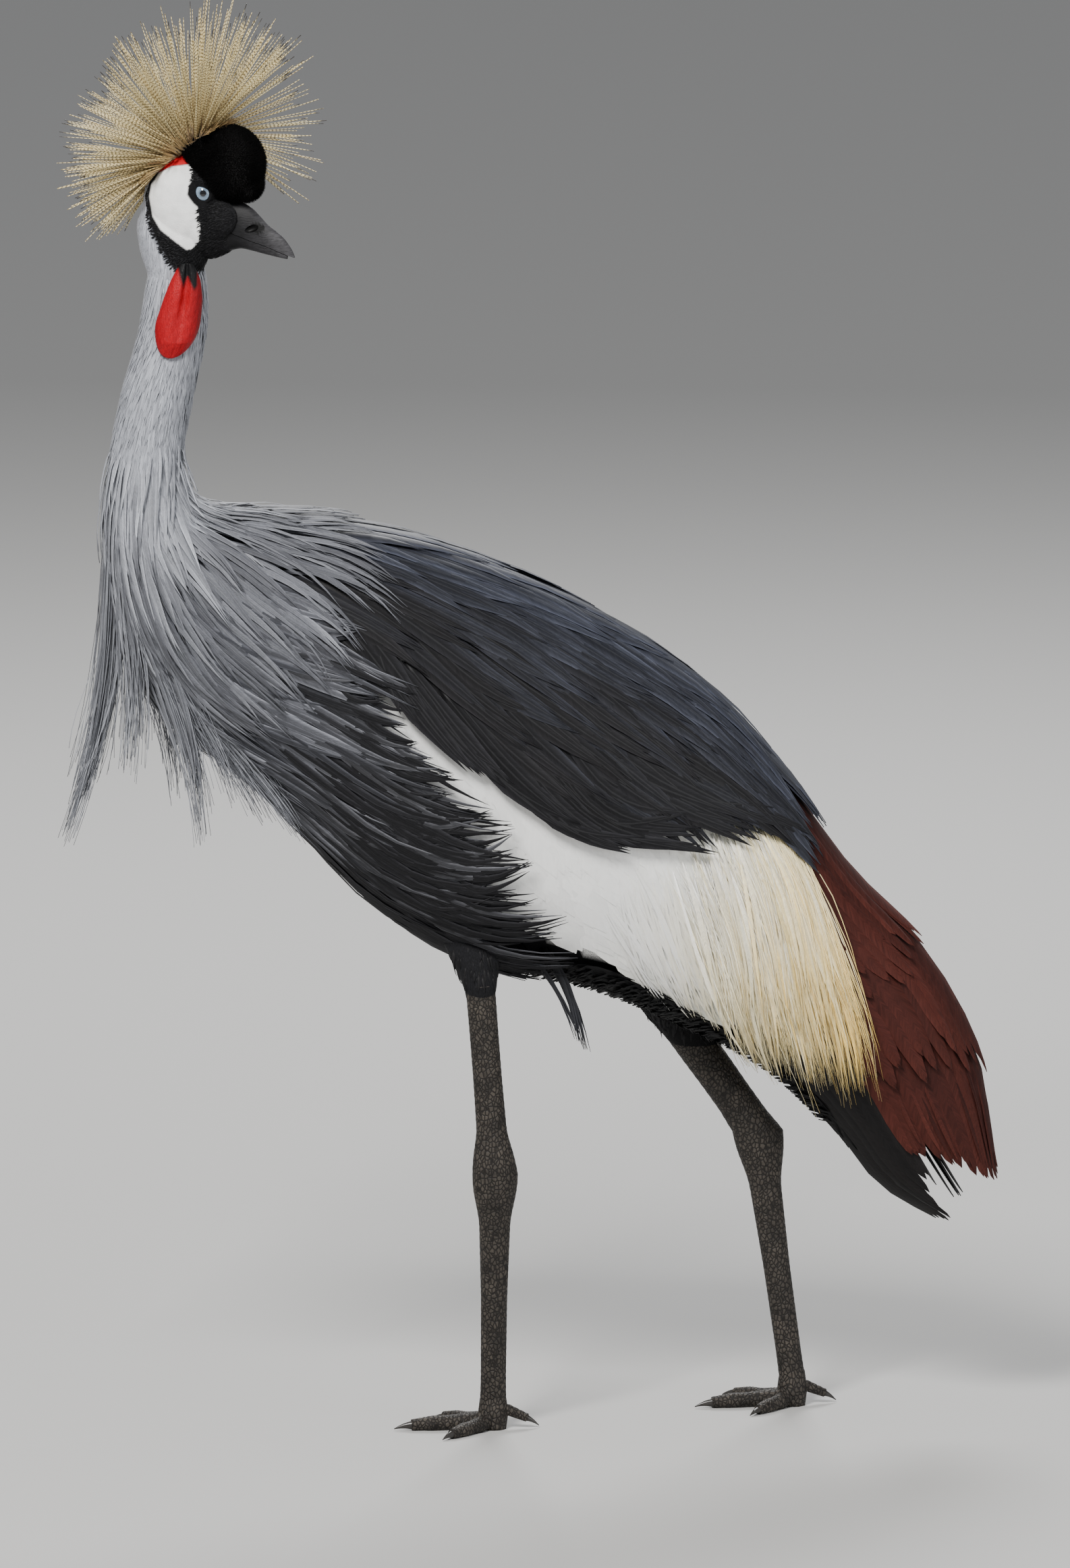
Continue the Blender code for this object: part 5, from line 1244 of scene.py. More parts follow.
rng = np.random.default_rng(71)
paths, facing = [], []
upward = hull_row(np.array(12.8))
upward = unit(np.array([upward[0] - upward[2], 0.0, upward[1] - upward[3]]))
for i in range(12):
    spread_out = 2 * i / 11 - 1
    paths.append([inside_point(11.7 + (2.22 - 0.25 * abs(spread_out)) * s, spread_out * (0.012 + 0.020 * s),
                               0.010 + 0.012 * spread_out**2 + 0.0035 * (i % 2) - 0.004 * s) for s in ROUND_TIP])
    facing.append(np.tile(upward, (9, 1)))
wide = np.tile(lance(ROUND_TIP, 0.7, 0.7, 0.5)[None] * 0.0105, (12, 1))
places = np.stack([np.linspace(0.1, 0.9, 12), np.full(12, 0.79)], axis=1)
tail = coat("tail_feathers", np.array(paths), np.array(facing), wide, 0.0005, places,
            shades(12, 9, NEAR_BLACK, (0.010, 0.009, 0.009)), BLACK_COAT, 0.2, rng)
ready(tail, "quill_feather")

# %% [markdown]
# ## Combing feathers over any surface
# The thighs, the nape and the face aren't part of the hull, so their feathers are combed over the
# skin itself. From each root the path takes small steps along the surface in the combing direction,
# and after each step it is set back onto the skin and lifted by the coat's depth.

# %% The comb
from mathutils.bvhtree import BVHTree

skin_tree = BVHTree.FromPolygons([tuple(p) for p in points_of_skin], faces_of_skin)


def roots_on(keep, number, rng):
    """Random places on the skin's faces that keep(centres) accepts, evenly by area."""
    chosen = np.flatnonzero(keep(face_centres))
    area = face_areas[chosen]
    picked = rng.choice(chosen, number, p=area / area.sum())
    middle = face_centres[picked]
    jitter = rng.normal(0, 1, (number, 3)) * np.sqrt(face_areas[picked])[:, None] * 0.5
    return middle + jitter


def comb(roots, heading, length, rows, depths, rng, swing=0.15):
    """Paths over the skin. heading(points) gives the combing direction at each of them."""
    count = len(roots)
    paths, facing = np.empty((count, rows, 3)), np.empty((count, rows, 3))
    depth = np.interp(np.linspace(0, 1, rows), *zip(*depths))
    turn = rng.normal(0, swing, (count, 3))
    place = np.array(roots, float)
    length = np.broadcast_to(length, count)
    for i in range(rows):
        hits = [skin_tree.find_nearest(Vector(p)) for p in place]
        flat = np.array([hit[0] for hit in hits])
        normal = np.array([hit[1] for hit in hits])
        paths[:, i], facing[:, i] = flat + normal * depth[i], normal
        step = heading(flat) + turn
        step = unit(step - normal * (step * normal).sum(1, keepdims=True))
        place = flat + step * (length / (rows - 1))[:, None]
    return paths, facing


def body_place(places):
    """Hull coordinates of combed roots, for the map."""
    near = nearest(grid, places)
    return hull_map(grid_t[near], grid_theta[near], grid_side[near])


# %% Feathers of the thighs
rng = np.random.default_rng(81)
count = 760
near_thigh = lambda p: (p[:, 2] < 0.420) & (p[:, 2] > 0.397) & (np.abs(p[:, 0] + 0.050) < 0.032) & (p[:, 1] < -0.016)
far_thigh = lambda p: (p[:, 2] < 0.372) & (p[:, 2] > 0.330) & (p[:, 0] > 0.09) & (p[:, 0] < 0.18)
roots = roots_on(lambda p: near_thigh(p) | far_thigh(p), count, rng)
hits = [skin_tree.find_nearest(Vector(p)) for p in roots]
flat, normal = [np.array([hit[k] for hit in hits]) for k in (0, 1)]
down = unit(np.array([0, 0, -1.0]) + normal * normal[:, 2:] + rng.normal(0, 0.06, (count, 3)))
s = np.linspace(0, 1, 4)[None, :, None]
paths = flat[:, None] + down[:, None] * s * rng.uniform(0.007, 0.017, count)[:, None, None] + normal[:, None] * (0.0006 * s - 0.0022 * s**3)
facing = np.repeat(normal[:, None], 4, axis=1)
wide = lance(4, 0.6, 0.4, 1.0)[None] * np.full((count, 1), 0.0014)
grey = blend((0.0050, 0.0050, 0.0056), (0.018, 0.017, 0.018), rng.random(count) ** 2)
thighs = coat("thigh_feathers", paths, facing, wide, 0.0003, body_place(roots), shades(count, 4, grey, grey), BLACK_COAT, 0.3, rng)
ready(thighs, "body_feather")

# %% Pointed tuft behind the near thigh
count = 18
start_t = 8.32 + rng.normal(0, 0.09, count)
start, normal = on_hull(start_t, 152 + rng.normal(0, 3, count), -0.016, LEFT)
tips = np.array([0.037, -0.050, 0.333]) + rng.normal(0, 0.0012, (count, 3)) - np.array([0.010, 0, -0.010]) * rng.random((count, 1)) ** 2
share = np.linspace(0, 1, 6)[None, :, None]
paths = start[:, None] + (tips - start)[:, None] * share + np.array([0.004, 0, 0.002]) * np.sin(np.pi * share)
wide = lance(6, 0.6, 0.30, 1.1)[None] * (0.0030 * rng.uniform(0.5, 1.2, count))[:, None]
places = hull_map(start_t, np.full(count, 152.0), np.full(count, LEFT))
tuft = coat("thigh_tuft", paths, np.repeat(normal[:, None], 6, axis=1), wide, 0.0004, places,
            shades(count, 6, NEAR_BLACK, (0.03, 0.031, 0.036)), BLACK_COAT, 0.3, rng)
ready(tuft, "body_feather")

# %% [markdown]
# ## The nape and the face
# Pale grey hair runs up the nape to the foot of the crest. Round the eye, over the throat and
# towards the bill the face wears a black plush of the same kind, only a few millimetres long.

# %% Nape hair
def head_back(p):
    x, z, local = head_view(p)
    return (signed_distance(DARK_FACE, x, z) < -0.5) & (x < 4) & (z > 1) & (z < 93)


count = 2600
roots = roots_on(head_back, count, rng)
paths, facing = comb(roots, lambda p: np.tile([-0.10, 0.0, -1.0], (len(p), 1)), rng.uniform(0.012, 0.020, count), 4,
                     [(0, -0.0003), (0.5, 0.0008), (1, 0.0012)], rng, 0.12)
wide = lance(4, 0.5, 0.4, 0.8)[None] * np.full((count, 1), 0.0009)
grey = blend(NECK_GREY, SILVER, rng.random(count))
nape = coat("nape_hair", paths, facing, wide, 0.0002, head_map(roots), shades(count, 4, grey, grey), NECK_COAT, 0.3, rng, blade=False)
ready(nape, "neck_feather")


# %% Plush of the face
def plush_face(p):
    x, z, local = head_view(p)
    clear = (signed_distance(CHEEK, x, z) < -0.4) & (signed_distance(RED_PATCH, x, z) < -0.4)
    eye = np.hypot(x - 25.9, z - 72.9) > 11.2
    return (signed_distance(DARK_FACE, x, z) > -0.3) & clear & eye & (z > -12)


def away_from_bill(p):
    axis = HEAD_AXES @ np.array([-1.0, 0.0, -0.35])
    return np.tile(axis, (len(p), 1))


count = 5200
roots = roots_on(plush_face, count, rng)
paths, facing = comb(roots, away_from_bill, rng.uniform(0.0026, 0.0046, count), 3, [(0, -0.0002), (0.5, 0.0004), (1, 0.0007)], rng, 0.2)
wide = lance(3, 0.7, 0.5, 0.8)[None] * np.full((count, 1), 0.00042)
black = blend((0.0045, 0.0045, 0.005), (0.014, 0.014, 0.0155), rng.random(count) ** 2)
plush = coat("face_plush", paths, facing, wide, 0.00015, head_map(roots), shades(count, 3, black, black), BLACK_COAT, 0.2, rng)
ready(plush, "bare_skin")

# %% [markdown]
# ## Eyes and bill
# The eye is one glossy ball. Its pupil, pale iris and dark edge are painted by the angle from the
# line of sight, with a ring of points at each border so that the borders stay sharp. The bill is
# lofted in two halves that meet along the mouth line, and the nostrils are cut right into it.

# %% Eyes
def eye_ball(side):
    angles = np.concatenate([np.linspace(0, 16.0, 6), [17.5, 18.7], np.linspace(20, 50, 12), [52.0, 53.2, 54.2], np.linspace(57, 176, 16)])
    turn = np.linspace(0, math.tau, 64, endpoint=False)
    sight = unit(np.array([0.27, side * 0.96, 0.04]))
    beside = unit(np.cross(sight, [0, 0, 1.0]))
    over = np.cross(beside, sight)
    a = np.radians(angles)[:, None]
    ring = sight * np.cos(a)[..., None] + (beside * np.cos(turn)[None, :, None] + over * np.sin(turn)[None, :, None]) * np.sin(a)[..., None]
    ring[0] = ring[0].mean(axis=0) + (ring[1] - ring[1].mean(axis=0)) * 0.02
    points, faces = closed_loft(from_head(ring * EYE_RADIUS + EYE * [1, side, 1]))
    mesh = plain_mesh("eye", points, faces)
    iris = blend((0.085, 0.12, 0.16), (0.21, 0.29, 0.38), np.clip((angles - 18) / 16, 0, 1))
    iris = blend(iris, (0.12, 0.165, 0.215), np.clip((angles - 44) / 8, 0, 1))
    shade = np.where(((angles < 18) | (angles > 53))[:, None], (0.003, 0.003, 0.004), iris)
    add_paint(mesh, np.repeat(shade, 64, axis=0))
    return mesh


eye_finish, tree, shader = new_material("eye_finish", 0.06, Coat_Weight=1.0, Coat_Roughness=0.02, IOR=1.38)
rays = noise(tree, object_place(tree), 1500.0, 3.0)
grain = spread(tree, rays, 0.3, 0.7, 0.82, 1.15)
tree.links.new(mix(tree, 1.0, attribute(tree, "paint"), vector_of(tree, grain, grain, grain), "MULTIPLY"), shader.inputs["Base Color"])
for name, side in (("left", RIGHT), ("right", LEFT)):
    ready(put("eye_ball_" + name, eye_ball(side), eye_finish), "eye", "eye_" + name)

# %% Bill
MOUTH_LINE = ((41, 46.5), (54.3, 39.8), (61.4, 37.0), (73.7, 32.4), (86.3, 28.3), (104.9, 20.8), (110.5, 18.6))
BILL_TOP = ((52.0, 66.5, 11.0), (54.3, 66.5, 10.6), (64, 64.0, 9.4), (72.6, 59.6, 8.2), (79.7, 53.0, 7.0), (86.3, 46.4, 6.0),
            (94.7, 40.3, 5.0), (101.4, 34.6, 3.9), (107.6, 26.4, 2.5), (110.4, 20.6, 0.9))
BILL_UNDER = ((52.0, 22.4, 10.6), (54.3, 22.6, 10.2), (63.5, 24.6, 8.8), (73.7, 23.1, 7.2), (84.5, 20.8, 5.6), (94.7, 18.9, 4.2), (104.0, 17.4, 2.2))


def bill_half(name, table, gap, rows=54, across=28):
    """A half bill: flat along the mouth line and domed away from it."""
    angle = np.linspace(0, math.pi, across)
    rings = []
    for x, crown, half in eased(table, rows):
        mouth = float(np.interp(x, *zip(*MOUTH_LINE))) + gap
        height = mouth + (crown - mouth) * np.sin(angle) ** 0.85
        ring = np.stack([np.full(across, x), half * np.cos(angle) * (1 - 0.10 * np.sin(angle)), height], axis=1)
        inner = np.linspace(ring[-1], ring[0], 8)[1:-1]
        rings.append(np.vstack([ring, inner]) * MM)
    return helper(name, *closed_loft(rings))


def bill_material():
    material, tree, shader = new_material("bill_horn_finish", 0.5, Specular_IOR_Level=0.16)
    along = noise(tree, object_place(tree, (0.35, 0.35, 1.6), (0, -0.42, 0.49)), 700.0, 3.0, 0.6)
    patches = noise(tree, object_place(tree), 140.0, 3.0)
    tone = spread(tree, calc(tree, "ADD", calc(tree, "MULTIPLY", along, 0.6), calc(tree, "MULTIPLY", patches, 0.4)), 0.3, 0.7, 0.45, 1.9)
    tree.links.new(mix(tree, 1.0, attribute(tree, "paint"), vector_of(tree, tone, tone, tone), "MULTIPLY"), shader.inputs["Base Color"])
    raise_surface(tree, shader, along, 0.3, 0.0005)
    return material


BILL_FINISH = bill_material()
for name, table, gap in (("bill_upper", BILL_TOP, 0.30), ("bill_lower", BILL_UNDER, -0.30)):
    piece = bill_half(name + "_horn", table, gap)
    if name == "bill_upper":
        for side in (LEFT, RIGHT):
            hole = joined("hole", [ball_form((76.0, side * 8.4, 43.4), (7.4, 4.0, 3.4), 22, 12)])
            cut_or_join(piece, hole, "DIFFERENCE")
    mesh = piece.data
    places = np.array([v.co for v in mesh.vertices])
    tip = np.clip((places[:, 0] / MM - 62) / 40, 0, 1)
    # Lighter along the middle line of each half: a painted highlight on the ridge. The paler tip is the horn's own
    # grey.
    ridge_highlight = np.clip(1 - np.abs(places[:, 1]) / 0.006, 0, 1) * 0.7
    colour = blend((0.0050, 0.0050, 0.0056), (0.042, 0.041, 0.044), np.clip(tip * 0.7 + ridge_highlight * np.sqrt(tip), 0, 1))
    # The hollow of each nostril is painted near black: painted shade inside the shallow cut.
    hollow = np.abs(places / MM * [1, 0, 1] - [76.0, 0, 43.4]) / [7.6, 1, 3.6]
    shaded_nostril = (np.hypot(hollow[:, 0], hollow[:, 2]) < 1.25) & (np.abs(places[:, 1]) < 0.0068)
    add_paint(mesh, np.where(shaded_nostril[:, None] & (name == "bill_upper"), 0.001, colour))
    mesh.transform(Matrix.Translation(Vector(HEAD_PLACE)) @ Matrix.Rotation(HEAD_TURN, 4, "Z"))
    mesh.materials.clear()
    mesh.materials.append(BILL_FINISH)
    mesh.polygons.foreach_set("use_smooth", np.ones(len(mesh.polygons), bool))
    mesh.set_sharp_from_angle(angle=math.radians(50))
    ready(piece, "bill_horn", name)
    print(name, len(mesh.polygons), "faces")

# %% [markdown]
# ## The velvet cushion
# On the forehead sits a cushion of stiff black plush. A rounded core carries a pile that Geometry
# Nodes plants: points are scattered over the core by density, a tiny cone is set on each along the
# surface's normal, and the cones are made real, because the export keeps no instances.

# %% Core of the cushion
core = joined("cushion", [ball_form((53, 0, 96.5), (29.4, 26.2, 31.4), 0, 28), ball_form((33, 0, 106), (19.5, 20, 17.2), 0, 24),
                         ball_form((67.5, 0, 80), (14.0, 16, 14.5), 0, 24)])
melt = core.modifiers.new("melt", "REMESH")
melt.mode = "VOXEL"
melt.voxel_size = 1.1 * MM
soften = core.modifiers.new("soften", "SMOOTH")
soften.factor, soften.iterations = 0.6, 14
apply_all(core)
core.data.transform(Matrix.Translation(Vector(HEAD_PLACE)) @ Matrix.Rotation(HEAD_TURN, 4, "Z"))
core.data.polygons.foreach_set("use_smooth", np.ones(len(core.data.polygons), bool))


def put_head_map(mesh):
    places = np.empty(len(mesh.vertices) * 3, np.float32)
    mesh.vertices.foreach_get("co", places)
    corners = np.empty(len(mesh.loops), np.int32)
    mesh.loops.foreach_get("vertex_index", corners)
    add_map(mesh, "OFBake", head_map(places.reshape(-1, 3).astype(float)), corners)


put_head_map(core.data)


def velvet_material():
    material, tree, shader = new_material("velvet", 0.95, Sheen_Weight=0.05, Sheen_Roughness=0.35, Specular_IOR_Level=0.03)
    pile = noise(tree, object_place(tree), 1100.0, 2.0)
    lumps = noise(tree, object_place(tree), 90.0, 3.0)
    tone = calc(tree, "MULTIPLY", spread(tree, pile, 0.3, 0.7, 0.5, 1.5), spread(tree, lumps, 0.3, 0.7, 0.75, 1.25))
    tree.links.new(mix(tree, 1.0, (0.0030, 0.0028, 0.0028), vector_of(tree, tone, tone, tone), "MULTIPLY"), shader.inputs["Base Color"])
    raise_surface(tree, shader, pile, 0.6, 0.0008)
    return material


VELVET = velvet_material()
core.data.materials.append(VELVET)

# %% A node tree that plants a pile
def pile_tree(material):
    """Inputs: Core, Tufts per square metre, Tuft length, Tuft radius and Seed."""
    tree = bpy.data.node_groups.new("plant_pile", "GeometryNodeTree")
    face = tree.interface
    face.new_socket("Core", in_out="INPUT", socket_type="NodeSocketGeometry")
    names = {}
    for name, kind in (("Tufts per square metre", "NodeSocketFloat"), ("Tuft length", "NodeSocketFloat"),
                       ("Tuft radius", "NodeSocketFloat"), ("Lean", "NodeSocketFloat"), ("Seed", "NodeSocketInt")):
        names[name] = face.new_socket(name, in_out="INPUT", socket_type=kind).identifier
    face.new_socket("Pile", in_out="OUTPUT", socket_type="NodeSocketGeometry")
    start, end = tree.nodes.new("NodeGroupInput"), tree.nodes.new("NodeGroupOutput")

    def add(kind, **settings):
        node = tree.nodes.new(kind)
        for key, value in settings.items():
            setattr(node, key, value)
        return node

    scatter_points = add("GeometryNodeDistributePointsOnFaces", distribute_method="RANDOM")
    tree.links.new(start.outputs["Core"], scatter_points.inputs["Mesh"])
    tree.links.new(start.outputs["Tufts per square metre"], scatter_points.inputs["Density"])
    tree.links.new(start.outputs["Seed"], scatter_points.inputs["Seed"])
    cone = add("GeometryNodeMeshCone", fill_type="NGON")
    cone.inputs["Vertices"].default_value = 3
    cone.inputs["Radius Top"].default_value = 0.0
    tree.links.new(start.outputs["Tuft radius"], cone.inputs["Radius Bottom"])
    tree.links.new(start.outputs["Tuft length"], cone.inputs["Depth"])
    tilt = add("FunctionNodeRandomValue", data_type="FLOAT_VECTOR")
    tree.links.new(start.outputs["Seed"], tilt.inputs["Seed"])
    tilt.inputs["Min"].default_value = (-1, -1, -1)
    tilt.inputs["Max"].default_value = (1, 1, 1)
    swing = add("ShaderNodeVectorMath", operation="SCALE")
    tree.links.new(tilt.outputs["Value"], swing.inputs[0])
    tree.links.new(start.outputs["Lean"], swing.inputs["Scale"])
    heading = add("ShaderNodeVectorMath", operation="ADD")
    tree.links.new(scatter_points.outputs["Normal"], heading.inputs[0])
    tree.links.new(swing.outputs["Vector"], heading.inputs[1])
    turn = add("FunctionNodeAlignEulerToVector", axis="Z")
    tree.links.new(heading.outputs["Vector"], turn.inputs["Vector"])
    size = add("FunctionNodeRandomValue", data_type="FLOAT")
    size.inputs[2].default_value, size.inputs[3].default_value = 0.7, 1.15
    plant = add("GeometryNodeInstanceOnPoints")
    tree.links.new(scatter_points.outputs["Points"], plant.inputs["Points"])
    tree.links.new(cone.outputs["Mesh"], plant.inputs["Instance"])
    tree.links.new(turn.outputs["Rotation"], plant.inputs["Rotation"])
    tree.links.new(size.outputs[1], plant.inputs["Scale"])
    real = add("GeometryNodeRealizeInstances")
    tree.links.new(plant.outputs["Instances"], real.inputs["Geometry"])
    finish = add("GeometryNodeSetMaterial")
    finish.inputs["Material"].default_value = material
    tree.links.new(real.outputs["Geometry"], finish.inputs["Geometry"])
    tree.links.new(finish.outputs["Geometry"], end.inputs["Pile"])
    return tree, names


def grown(holder, tree, names, values, name):
    """The plain mesh that the node tree makes on an object."""
    grower = holder.modifiers.new("grow", "NODES")
    grower.node_group = tree
    for key, value in values.items():
        grower[names[key]] = value
    mesh = baked(holder)
    holder.modifiers.remove(grower)
    mesh.name = name
    return mesh


def patches_by_tuft(mesh, points_each, places_of):
    """Each tuft's own small patch at its root's place on the skin's map."""
    places = np.empty(len(mesh.vertices) * 3, np.float32)
    mesh.vertices.foreach_get("co", places)
    places = places.reshape(-1, points_each, 3).astype(float)
    centre = places_of(places.mean(axis=1))
    spin = np.arange(points_each) / points_each * math.tau
    spot = centre[:, None] + 0.0015 * np.stack([np.cos(spin), np.sin(spin)], axis=1)[None]
    corners = np.empty(len(mesh.loops), np.int32)
    mesh.loops.foreach_get("vertex_index", corners)
    add_map(mesh, "OFBake", spot.reshape(-1, 2), corners)


tree, names = pile_tree(VELVET)
PILE = {"Tufts per square metre": 2.1e6, "Tuft length": 0.0030, "Tuft radius": 0.00030, "Lean": 0.28, "Seed": 5}
pile_mesh = grown(core, tree, names, PILE, "cushion_pile")
print("cushion pile:", len(pile_mesh.polygons), "faces", len(pile_mesh.vertices) / 4, "tufts")
patches_by_tuft(pile_mesh, 4, head_map)
pile_mesh.materials.clear()
ready(put("cushion_pile", pile_mesh, VELVET), "velvet_feather")
ready(core, "velvet_feather", "velvet_cap")

# %% [markdown]
# ## The wattle
# A flat scarlet lobe hangs under the throat. Its level sections are two half lobes with a fold
# between, and fine upright wrinkles are worked into its face.

# %% Wattle
WATTLE_TOP, WATTLE_LONG, WATTLE_THICK = 1.0125, 0.0800, 0.0085
LOBE = ((0, 0.17, 0.38, 0.62, 1), (5.5, 12.5, 16.8, 19.2, 19.2), (4.5, 4.0, 2.2, -0.8, -2.0))
LOBE_ROWS = smooth_steps(np.stack([np.interp(np.linspace(0, 1, 120), LOBE[0], LOBE[k]) for k in (1, 2)], axis=1), 120, 40)
LOBE_ROWS[:, 0] *= np.sqrt(1 - (np.clip(np.linspace(0, 1, 120) - 0.62, 0, 1) / 0.383) ** 2)


def wattle_ring(share, sides=96):
    half, shift = LOBE_ROWS[round(share * 119)] * MM
    thick = WATTLE_THICK * (0.55 + 0.45 * min(1, share * 3)) * min(1, (1.03 - share) * 5)
    height = WATTLE_TOP - WATTLE_LONG * share
    middle = hull_row(np.array(max(0.0, (1.003 - height) / 0.052)))[[0, 2]].mean()
    middle += shift
    out = 0.0245 + 0.0035 * share
    angle = np.linspace(0, math.tau, sides, endpoint=False)
    across = half * np.cos(angle)
    front = np.clip(np.sin(angle), 0, 1)
    fold = 0.60 * np.exp(-((across / (0.22 * half)) ** 2)) * np.sqrt(front) * min(1, max(0, (0.88 - share) * 2.2))
    wrinkle = (np.sin(across / 0.00085 + 5 * share) + 0.6 * np.sin(across / 0.00047 - 9 * share + 1.0)) * 0.00016 * front
    wrinkle = wrinkle + np.sin(share * 46 + across * 500) * 0.00010 * front
    forward = out + thick * np.sin(angle) * (1 - fold) - across**2 * 9 + wrinkle
    return np.stack([middle + across, -forward, np.full(sides, height)], axis=1)


wattle = helper("wattle_lobe", *closed_loft([wattle_ring(s) for s in np.linspace(0, 1, 120)]))
places = np.array([v.co for v in wattle.data.vertices])
x, z, local = head_view(places)
WEDGE = ((-1.5, 13), (4, 12), (7, 8), (9, 0), (11.6, -7.6), (13.5, -2), (15, 1.5), (18, -5), (20.5, -9.5), (23, -6), (24, 20), (-2, 20))
wedge = soft(signed_distance(WEDGE, x, z), 1.2)
rim = np.clip(np.abs(places[:, 0] + 0.3125) / 0.019, 0, 1) ** 3
red = blend((0.34, 0.0030, 0.0080), (0.21, 0.0022, 0.0052), rim)
add_paint(wattle.data, red * (1 - wedge[:, None]) + np.array((0.0055, 0.0055, 0.006)) * wedge[:, None])
put_head_map(wattle.data)
finish, tree, shader = new_material("wattle_finish", 0.48, Subsurface_Weight=0.06, Subsurface_Radius=(0.004, 0.001, 0.001),
                                    Subsurface_Scale=0.5, Specular_IOR_Level=0.2)
lines = noise(tree, object_place(tree, (1.0, 1.0, 0.18)), 1100.0, 3.0, 0.6)
spots = cells(tree, object_place(tree, (1, 1, 0.6)), 900.0)
tone = spread(tree, lines, 0.3, 0.7, 0.74, 1.22)
tree.links.new(mix(tree, 1.0, attribute(tree, "paint"), vector_of(tree, tone, tone, tone), "MULTIPLY"), shader.inputs["Base Color"])
raise_surface(tree, shader, calc(tree, "ADD", lines, calc(tree, "MULTIPLY", spots, 0.6)), 0.5, 0.0006)
wattle.data.materials.append(finish)
wattle.data.polygons.foreach_set("use_smooth", np.ones(len(wattle.data.polygons), bool))
ready(wattle, "wattle_skin", "wattle")
print("wattle:", len(wattle.data.polygons), "faces")

# %% [markdown]
# ## The crest
# Stiff straw-coloured bristles fan out from the crown like a brush. Each is a path, and Geometry
# Nodes sweeps a small ring along it, thinner towards the tip. A real bristle is a twisted ribbon,
# pale on one side and dark on the other, which shows as fine banding: the material draws the bands
# from the distance along the bristle.

# %% Paths of the bristles
CREST_BACK, CREST_FRONT = np.array([-11.0, 0, 87.0]) * MM, np.array([37.0, 0, 126.0]) * MM
CREST_LENGTHS = ((0, 35, 80, 107, 138, 193, 233), (92, 112, 127, 122, 107, 91, 80))


def bristle_paths(count, far_count, rows, seed):
    rng = np.random.default_rng(seed)
    bundles = count // 6
    bundle = rng.integers(0, bundles, count)
    lean_deg = -40 + 88 * ((bundle * 0.6180339) % 1) + rng.normal(0, 2.0, count)
    lowest = 28 + np.abs(lean_deg) * 0.62
    turn = lowest + (233 - lowest) * (bundle + 0.5) / bundles + rng.normal(0, 1.3, count)
    lean = np.radians(lean_deg)
    share = np.clip((238 - turn) / 205, 0, 1) * 0.86 + 0.07 + rng.normal(0, 0.04, count)
    start = CREST_BACK + (CREST_FRONT - CREST_BACK) * share[:, None]
    start = start + np.stack([rng.normal(0, 1.2, count) * MM, 13 * MM * lean, -1.0 * MM * np.ones(count)], axis=1)
    length = np.interp(turn, *CREST_LENGTHS) * MM * rng.uniform(0.70, 1.03, count) ** 0.7
    far_turn, far_lean = rng.uniform(-44, 34, far_count), np.radians(rng.uniform(28, 52, far_count))
    far_start = CREST_BACK + (CREST_FRONT - CREST_BACK) * rng.uniform(0.72, 0.92, far_count)[:, None] + np.array([0, 9, -2]) * MM
    start = np.vstack([start, far_start])
    turn, lean = np.radians(np.concatenate([turn, far_turn])), np.concatenate([lean, far_lean])
    length = np.concatenate([length, rng.uniform(78, 106, far_count) * MM])
    heading = np.stack([np.cos(turn) * np.cos(lean), np.sin(lean), np.sin(turn) * np.cos(lean)], axis=1)
    bend = rng.normal(0, 0.028, heading.shape)
    bend[:, 2] -= 0.03
    s = np.linspace(0, 1, rows)[None, :, None]
    paths = start[:, None] + (heading[:, None] * s + bend[:, None] * s**2) * length[:, None, None]
    return from_head(paths), length, rng


def guides(name, paths, numbers):
    """An object of bare edges along the paths, with one number for each point under each name."""
    count, rows = paths.shape[:2]
    at = np.arange(count * rows).reshape(count, rows)
    edges = np.stack([at[:, :-1], at[:, 1:]], axis=-1).reshape(-1, 2)
    mesh = bpy.data.meshes.new(name)
    mesh.from_pydata(paths.reshape(-1, 3).tolist(), edges.tolist(), [])
    for key, values in numbers.items():
        add_number(mesh, key, np.broadcast_to(values, (count, rows)))
    obj = bpy.data.objects.new(name, mesh)
    bpy.context.scene.collection.objects.link(obj)
    return obj


